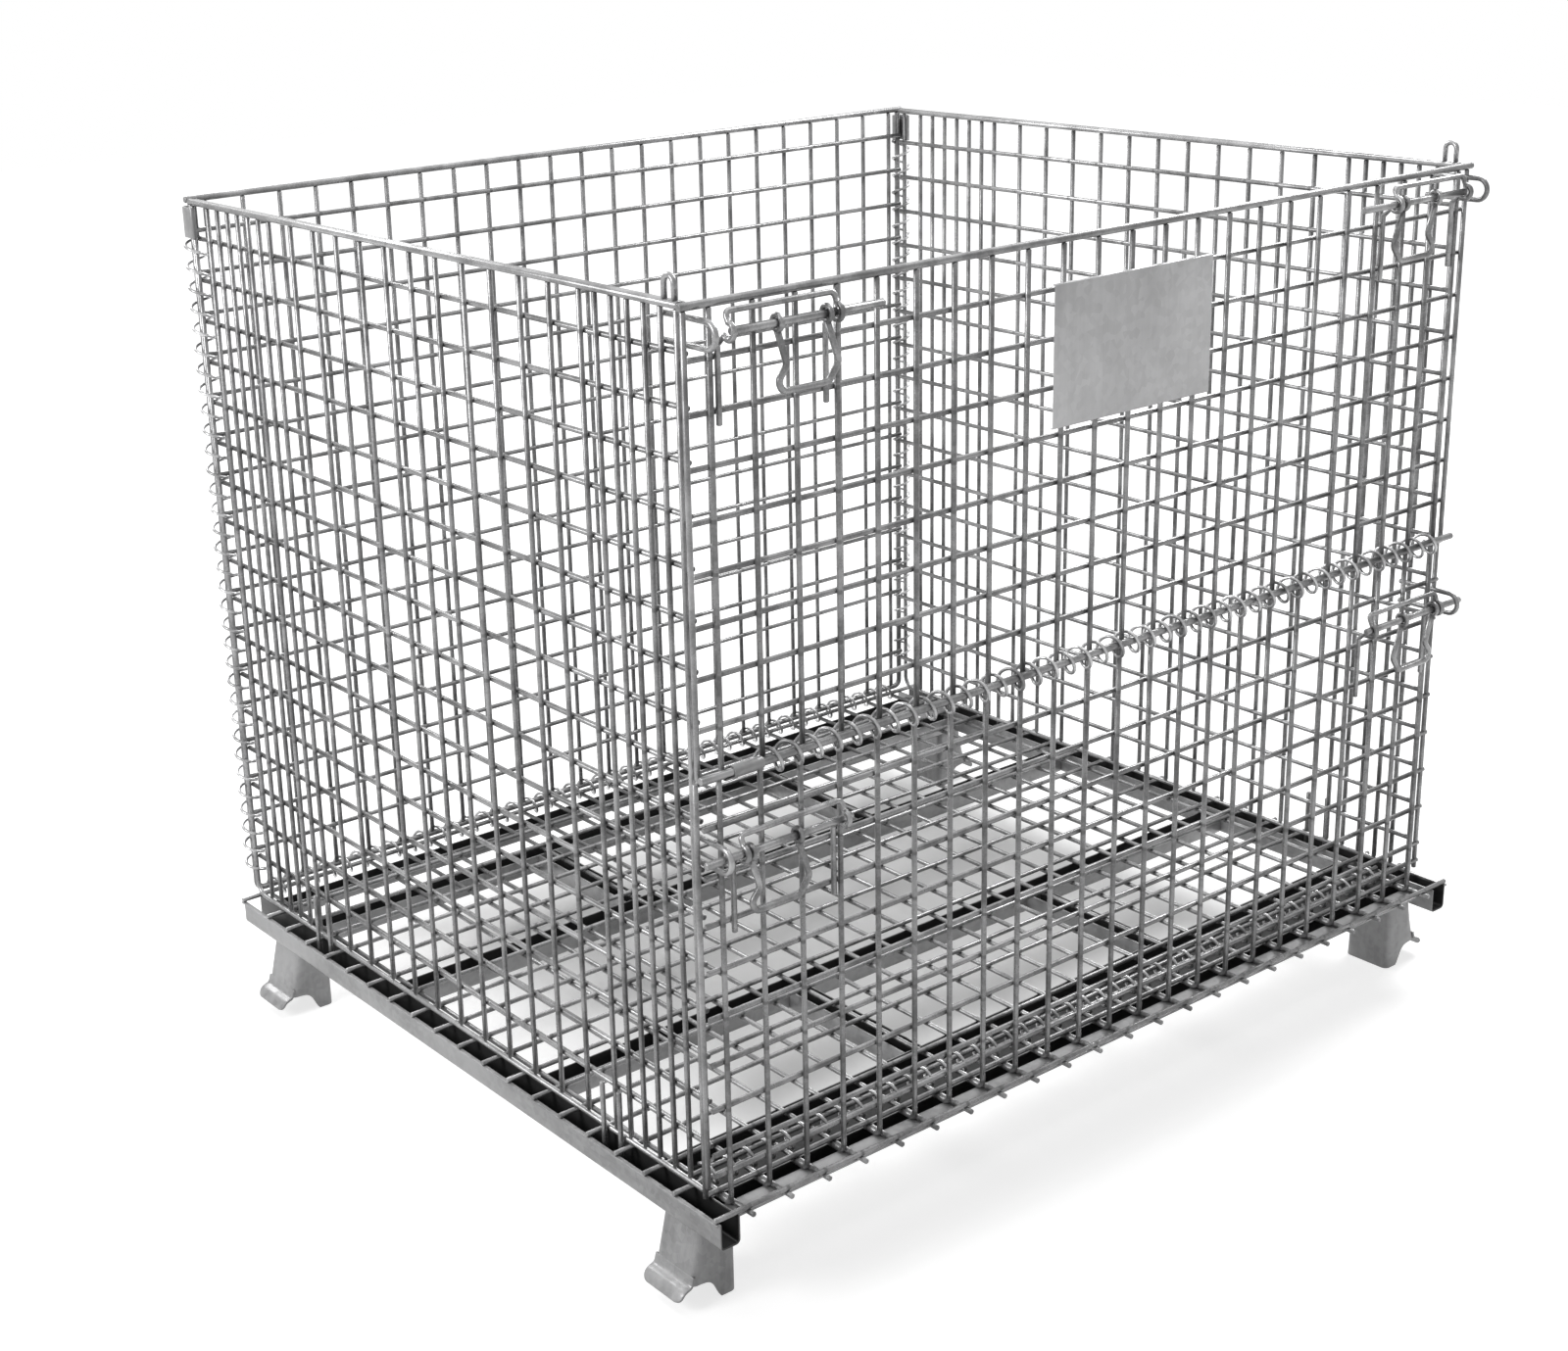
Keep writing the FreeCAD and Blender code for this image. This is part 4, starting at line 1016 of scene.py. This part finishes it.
class CONTAINER_OT_base(bpy.types.Operator):
    """Fold the rails, channels and braces of the base"""
    bl_idname = "container.base"
    bl_label = "Base rails and channels"

    def execute(self, context):
        for name, sign in SIDES:
            self.rail(name, sign)
        for place in ("front_edge", "front_inner", "front_middle", "rear_middle",
                      "rear_inner", "rear_edge"):
            self.channel(place)
        self.braces()
        return {"FINISHED"}

    def rail(self, name, sign):
        """A trough with a narrow flange along its outer wall."""
        c = sheets()
        t = c.sheet
        node = name + "_rail"
        flange, flange_bend = 0.004, 0.0016
        inner, outer = distances(node)
        inner += t / 2
        wall = outer - flange - t / 2
        z0, z1 = low(node, "z", t / 2), high(node, "z")
        path = [(sign * x, z) for x, z in ((inner, z1), (inner, z0), (wall, z0),
                                           (wall, z1 - t / 2), (outer, z1 - t / 2))]
        # the hollow paints shade inside the rail's trough
        finish = sheet_finish(name + " rail zinc", "y",
                              ("x", (inner + wall) / 2, (wall - inner) / 2))
        folded_piece(name + "_base_rail", node, [path], t, "y",
                     (c.bend, c.bend, flange_bend), finish, c.edge)

    def channel(self, place):
        """An open channel across the base. The front one has a wide flange to the front, and
        the next is widened towards the hinge."""
        c = sheets()
        t = c.sheet
        node = place + "_channel"
        y0, y1 = low(node, "y", t / 2), high(node, "y", t / 2)
        z0, z1 = low(node, "z", t / 2), high(node, "z")
        bends = (c.bend, c.bend)
        wall = y0 - c.front_trough if place == "front_inner" else y0
        path = [(wall, z1), (wall, z0), (y1, z0), (y1, z1)]
        if place == "front_edge":
            trough = 0.017
            wall = y1 - trough
            path = [(y0 - t / 2, z1 - t / 2), (wall, z1 - t / 2), (wall, z0), (y1, z0), (y1, z1)]
            bends = (0.0028, 0.0035, 0.0035)
        # the hollow paints shade inside the channel
        finish = sheet_finish(place + " zinc", "x", ("y", (y1 + wall) / 2, (y1 - wall) / 2))
        folded_piece(place + "_member", node, [path], t, "x", bends, finish,
                     c.edge)

    def braces(self):
        """Narrow channels between the cross channels, in two bays on either side."""
        c = sheets()
        t = c.sheet
        node = "lengthwise_braces"
        half = 0.014
        reach = half - t / 2
        x1 = high(node, "x") - half
        z0, z1 = low(node, "z", t / 2), high(node, "z")
        bays = ((high("front_inner_channel", "y"), low("front_middle_channel", "y")),
                (high("rear_middle_channel", "y"), low("rear_inner_channel", "y")))
        parts = [folded_sheet([(x - reach, z1), (x - reach, z0), (x + reach, z0),
                               (x + reach, z1)], t, "y", y0, y1, c.bend)
                 for x in (-x1, x1) for y0, y1 in bays]
        # the hollow paints shade inside each brace
        piece("braces", join(parts), sheet_finish("brace zinc", "y", ("x", x1, reach)),
              BODY, node, c.edge)


class CONTAINER_OT_feet(bpy.types.Operator):
    """Press the four feet: a flared shell with an arched lower edge and an outward lip"""
    bl_idname = "container.feet"
    bl_label = "Feet"

    def execute(self, context):
        finish = sheet_finish("foot zinc", "z")
        for place in ("front", "rear"):
            for name, sign in SIDES:
                self.foot(name + "_" + place, sign, finish)
        return {"FINISHED"}

    def foot(self, stem, sign, finish):
        c = sheets()
        t = c.foot_sheet
        node = stem + "_foot"
        x_in = distances(node)[0] + t / 2
        y0 = low(node, "y") + t / 2 - c.foot_spread
        y1 = high(node, "y") - t / 2 + c.foot_spread
        shell = self.shell(x_in, y0, y1, high(node, "z"), t, c.foot_corner)
        lip = self.lip(x_in, y0 - t / 2, y1 + t / 2, t)
        verts, faces = join([shell, lip])
        verts[:, 0] *= sign
        edge = 0.0006
        piece(stem + "_pressed_foot", (verts, faces), finish, BODY, node, edge)

    def shell(self, x_in, y0, y1, top, t, corner_radius):
        """Ruled wall P(a, v) = (1 - v) B(a) + v T(a): B is a rounded rectangle whose height
        follows the arch, T a smaller one under the rail. Inner and outer walls lie half a
        sheet to either side, and the top closes over."""
        arch_x = np.array([-0.01, 0.0185, 0.0205, 0.0235, 0.0275, 0.032, 0.037, 0.045, 0.07])
        arch_z = np.array([0.0, 0.0, 0.002, 0.008, 0.0165, 0.0218, 0.0243, 0.0254, 0.026])
        low_width, top_width = 0.0575 - t / 2, 0.0425 - t / 2
        walls = []
        for grow in (t / 2, -t / 2):
            rings = []
            for width in (low_width, top_width):
                ring = self.rounded_box(width / 2 + grow, (y1 - y0) / 2 + grow,
                                        corner_radius + grow)
                x = width / 2 + ring[:, 0]
                z = np.full(x.shape, top - t / 2 + grow)
                if width == low_width:
                    z = np.interp(x, arch_x, arch_z)
                rings.append(np.column_stack([x_in + x, (y0 + y1) / 2 + ring[:, 1], z]))
            walls.append([rings[0] * (1 - v) + rings[1] * v
                          for v in (0.0, 0.2, 0.4, 0.6, 0.8, 1.0)])
        caps = []
        for wall, level in ((walls[0], top), (walls[1], top - t)):
            centre = wall[-1].mean(0)
            centre[2] = level
            caps.append([wall[-1] * (1 - w) + centre * w for w in (0.35, 0.7, 0.98)])
        verts = np.array(walls[0] + caps[0] + caps[1][::-1] + walls[1][::-1])
        return verts.reshape(-1, 3), closed_quads(*verts.shape[:2])

    def rounded_box(self, hx, hy, r):
        """Points evenly spread along a rectangle with round corners: the corner arcs are
        centre + r (cos a, sin a), joined by straight runs and measured off by length."""
        count = 96
        a = np.linspace(0, math.pi / 2, 9)
        ring = []
        for turn, (sx, sy) in enumerate(((1, 1), (-1, 1), (-1, -1), (1, -1))):
            b = a + turn * math.pi / 2
            ring.append(np.column_stack([sx * (hx - r) + r * np.cos(b),
                                         sy * (hy - r) + r * np.sin(b)]))
        ring = np.concatenate(ring + [ring[0][:1]])
        run = run_length(ring)
        return at_lengths(np.linspace(0, run[-1], count + 1)[:-1], run, ring)

    def lip(self, x_in, y0, y1, t):
        """Tongue P(s, v): s runs down a curve from the wall's lower edge to the rolled tip,
        v across the foot, and the half width shrinks on a circle near the tip."""
        line = rounded([(x_in + 0.0535, 0, 0.0365), (x_in + 0.0565, 0, 0.0262),
                        (x_in + 0.067, 0, 0.0225), (x_in + 0.0735, 0, 0.0125)],
                       (0.006, 0.010), 7)[:, [0, 2]]
        along, _ = directions(line)
        normal = np.column_stack([-along[:, 1], along[:, 0]])
        reach = run_length(line)
        s = np.linspace(0, 1, 25) ** 0.8 * reach[-1]
        line = at_lengths(s, reach, line)
        normal = unit(at_lengths(s, reach, normal))
        tip = 0.009
        into = np.clip((s - (s[-1] - tip)) / tip, 0, 0.999)
        half = (y1 - y0) / 2 - tip * (1 - np.sqrt(1 - into ** 2))
        columns = 9
        y = (y0 + y1) / 2 + half[:, None] * np.linspace(-1, 1, columns)[None, :]
        grids = []
        for sign in (0.5, -0.5):
            flat = line + normal * t * sign
            x, z = [np.repeat(flat[:, k:k + 1], columns, axis=1) for k in (0, 1)]
            grids.append(np.stack([x, y, z], axis=-1))
        verts = np.concatenate([grids[0], grids[1][:, ::-1]], axis=1)
        i = np.arange(verts.shape[0] * verts.shape[1]).reshape(verts.shape[:2])
        n = np.roll(i, -1, axis=1)
        faces = [np.stack([i[:-1], n[:-1], n[1:], i[1:]], axis=-1).reshape(-1, 4)]
        for row in (i[0], i[-1]):
            a, b = row[:columns], row[columns:][::-1]
            faces.append(np.stack([a[:-1], a[1:], b[1:], b[:-1]], axis=-1))
        return verts.reshape(-1, 3), faces


class CONTAINER_OT_corner_clips(bpy.types.Operator):
    """Fold the sheet clips round the rear corner rods"""
    bl_idname = "container.corner_clips"
    bl_label = "Corner clips"

    def execute(self, context):
        node = "corner_clips"
        t = sheets().thin_sheet
        reach, lap, bend, edge = 0.0044, 0.0085, 0.0022, 0.0004
        x0, x1 = back_rod_x() - reach - t / 2, high(node, "x", t / 2)
        y0, y1 = low(node, "y", t / 2), high(node, "y", t / 2)
        path = ((x0 + lap, y0), (x1, y0), (x1, y1), (x0, y1), (x0, y1 - lap))
        paths = [[(sign * x, y) for x, y in path] for _, sign in SIDES]
        folded_piece("rear_clips", node, paths, t, "z", bend, sheet_finish("clip zinc", "z"),
                     edge)
        return {"FINISHED"}


class CONTAINER_OT_stage(bpy.types.Operator):
    """Set the floor, the white surroundings, four soft lamps and the camera"""
    bl_idname = "container.stage"
    bl_label = "Stage"

    def execute(self, context):
        scene = context.scene
        g = scene.container_stage
        scene.view_settings.view_transform = "Standard"
        self.floor(g)
        self.surroundings(scene, g)
        for name, size, place in LAMPS:
            self.lamp(scene, name, getattr(g, name), size, place)
        self.camera(scene, g)
        return {"FINISHED"}

    def floor(self, g):
        """A flat square, P(u, v) = (u, v, -0.0004), pale where it is seen."""
        u = np.linspace(-9.0, 9.0, 5)
        grid = np.stack(np.meshgrid(u, u, indexing="ij") + [np.zeros((5, 5))], axis=-1)
        i = np.arange(25).reshape(5, 5)
        faces = np.stack([i[:-1, :-1], i[1:, :-1], i[1:, 1:], i[:-1, 1:]], axis=-1)
        f = Finish("pale floor")
        matt = f.node("ShaderNodeBsdfDiffuse", Color=(g.floor, g.floor, g.floor, 1.0))
        glow = f.node("ShaderNodeEmission",
                      Strength=f.math("MULTIPLY", f.seen(), self.clear(f, g)))
        both = f.node("ShaderNodeAddShader")
        f.feed(both.inputs[0], matt.outputs[0])
        f.feed(both.inputs[1], glow.outputs[0])
        f.show(both)
        verts = grid.reshape(-1, 3) - np.array([0, 0, 0.0004])
        make_object("pale_floor", verts, [faces.reshape(-1, 4)], f.material)

    def clear(self, f, g):
        """Glow that grows from a painted shadow under the container, set off towards the back
        right, to the open floor and on to the far floor, where the lamps no longer reach."""
        centre, half_size = (0.10, 0.12, 0.0), (0.50, 0.42, 1.0)
        away = f.vector("DIVIDE", f.vector("SUBTRACT", f.place, centre), half_size)
        away = f.split(f.vector("ABSOLUTE", away))
        widest = f.math("MAXIMUM", away[0], away[1])
        # less glow under the container: a painted shadow that adds to the lamps' own shadow there
        return f.math("ADD", f.spread(widest, 0.60, 1.20, g.shade, g.glow),
                      f.spread(widest, 2.0, 7.0, 0.0, 0.35))

    def surroundings(self, scene, g):
        """White where it is seen, and a level light everywhere else."""
        scene.world = bpy.data.worlds.new("white surroundings")
        f = Nodes(scene.world, "ShaderNodeOutputWorld")
        level = f.node("ShaderNodeMapRange", Value=f.seen(), To_Min=g.world, To_Max=1.0)
        f.show(f.node("ShaderNodeBackground", Color=(1.0, 1.0, 1.0, 1.0),
                      Strength=level.outputs["Result"]))

    def lamp(self, scene, name, watts, size, place):
        """A round area lamp that faces the middle of the container."""
        data = bpy.data.lights.new(name, "AREA")
        data.shape = "DISK"
        data.size = size
        data.energy = watts
        lamp = bpy.data.objects.new(name, data)
        scene.collection.objects.link(lamp)
        lamp.location = place
        lamp.rotation_mode = "QUATERNION"
        aim = Vector((0, 0, 0.5)) - Vector(place)
        lamp.rotation_quaternion = aim.to_track_quat("-Z", "Y")

    def camera(self, scene, g):
        """The camera looks from azimuth and elevation at a point inside the container."""
        az, el, roll = g.azimuth, g.elevation, g.roll
        back = np.array([math.sin(az) * math.cos(el), -math.cos(az) * math.cos(el),
                         math.sin(el)])
        right = unit(np.cross(-back, (0, 0, 1)))
        up = np.cross(right, -back)
        across = right * math.cos(roll) + up * math.sin(roll)
        rise = up * math.cos(roll) - right * math.sin(roll)
        matrix = np.eye(4)
        matrix[:3] = np.column_stack([across, rise, back,
                                      np.array(CAMERA_TARGET) + back * g.distance])
        data = bpy.data.cameras.new("camera")
        data.sensor_width = 36.0
        data.lens = g.lens
        data.shift_x = g.shift_x
        data.shift_y = g.shift_y
        camera = bpy.data.objects.new("camera", data)
        scene.collection.objects.link(camera)
        camera.matrix_world = Matrix(matrix.tolist())
        scene.camera = camera


class CONTAINER_PT_panel(bpy.types.Panel):
    """Lists the container's sizes, greys and pieces"""
    bl_idname = "CONTAINER_PT_panel"
    bl_label = "Wire Mesh Container"
    bl_space_type = "VIEW_3D"
    bl_region_type = "UI"
    bl_category = "Container"

    def draw(self, context):
        for group, _ in PROPERTY_GROUPS:
            box = self.layout.box()
            values = getattr(context.scene, group)
            for name in values.__annotations__:
                box.prop(values, name)
        for part in PIECES:
            self.layout.operator(part.bl_idname)


PROPERTY_GROUPS = (("container_wires", WireSizes), ("container_sheets", SheetSizes),
                   ("container_tones", ZincTones), ("container_stage", StageSizes))
PIECES = (CONTAINER_OT_stage, CONTAINER_OT_base, CONTAINER_OT_feet, CONTAINER_OT_floor_mat,
          CONTAINER_OT_side_panels, CONTAINER_OT_back_panel, CONTAINER_OT_corner_clips,
          CONTAINER_OT_lower_gate, CONTAINER_OT_upper_gate, CONTAINER_OT_label_plate,
          CONTAINER_OT_keepers, CONTAINER_OT_latches, CONTAINER_OT_coil_hinges)


def register():
    for name, group in PROPERTY_GROUPS:
        bpy.utils.register_class(group)
        setattr(bpy.types.Scene, name, PointerProperty(type=group))
    for part in PIECES + (CONTAINER_PT_panel,):
        bpy.utils.register_class(part)


def unregister():
    for part in (CONTAINER_PT_panel,) + PIECES[::-1]:
        bpy.utils.unregister_class(part)
    for name, group in PROPERTY_GROUPS[::-1]:
        delattr(bpy.types.Scene, name)
        bpy.utils.unregister_class(group)


def main():
    """Make every piece in turn."""
    register()
    for part in PIECES:
        group, name = part.bl_idname.split(".")
        if getattr(getattr(bpy.ops, group), name)() != {"FINISHED"}:
            raise RuntimeError(part.bl_label + " was not finished")
    bpy.context.view_layer.update()


if __name__ == "__main__":
    main()
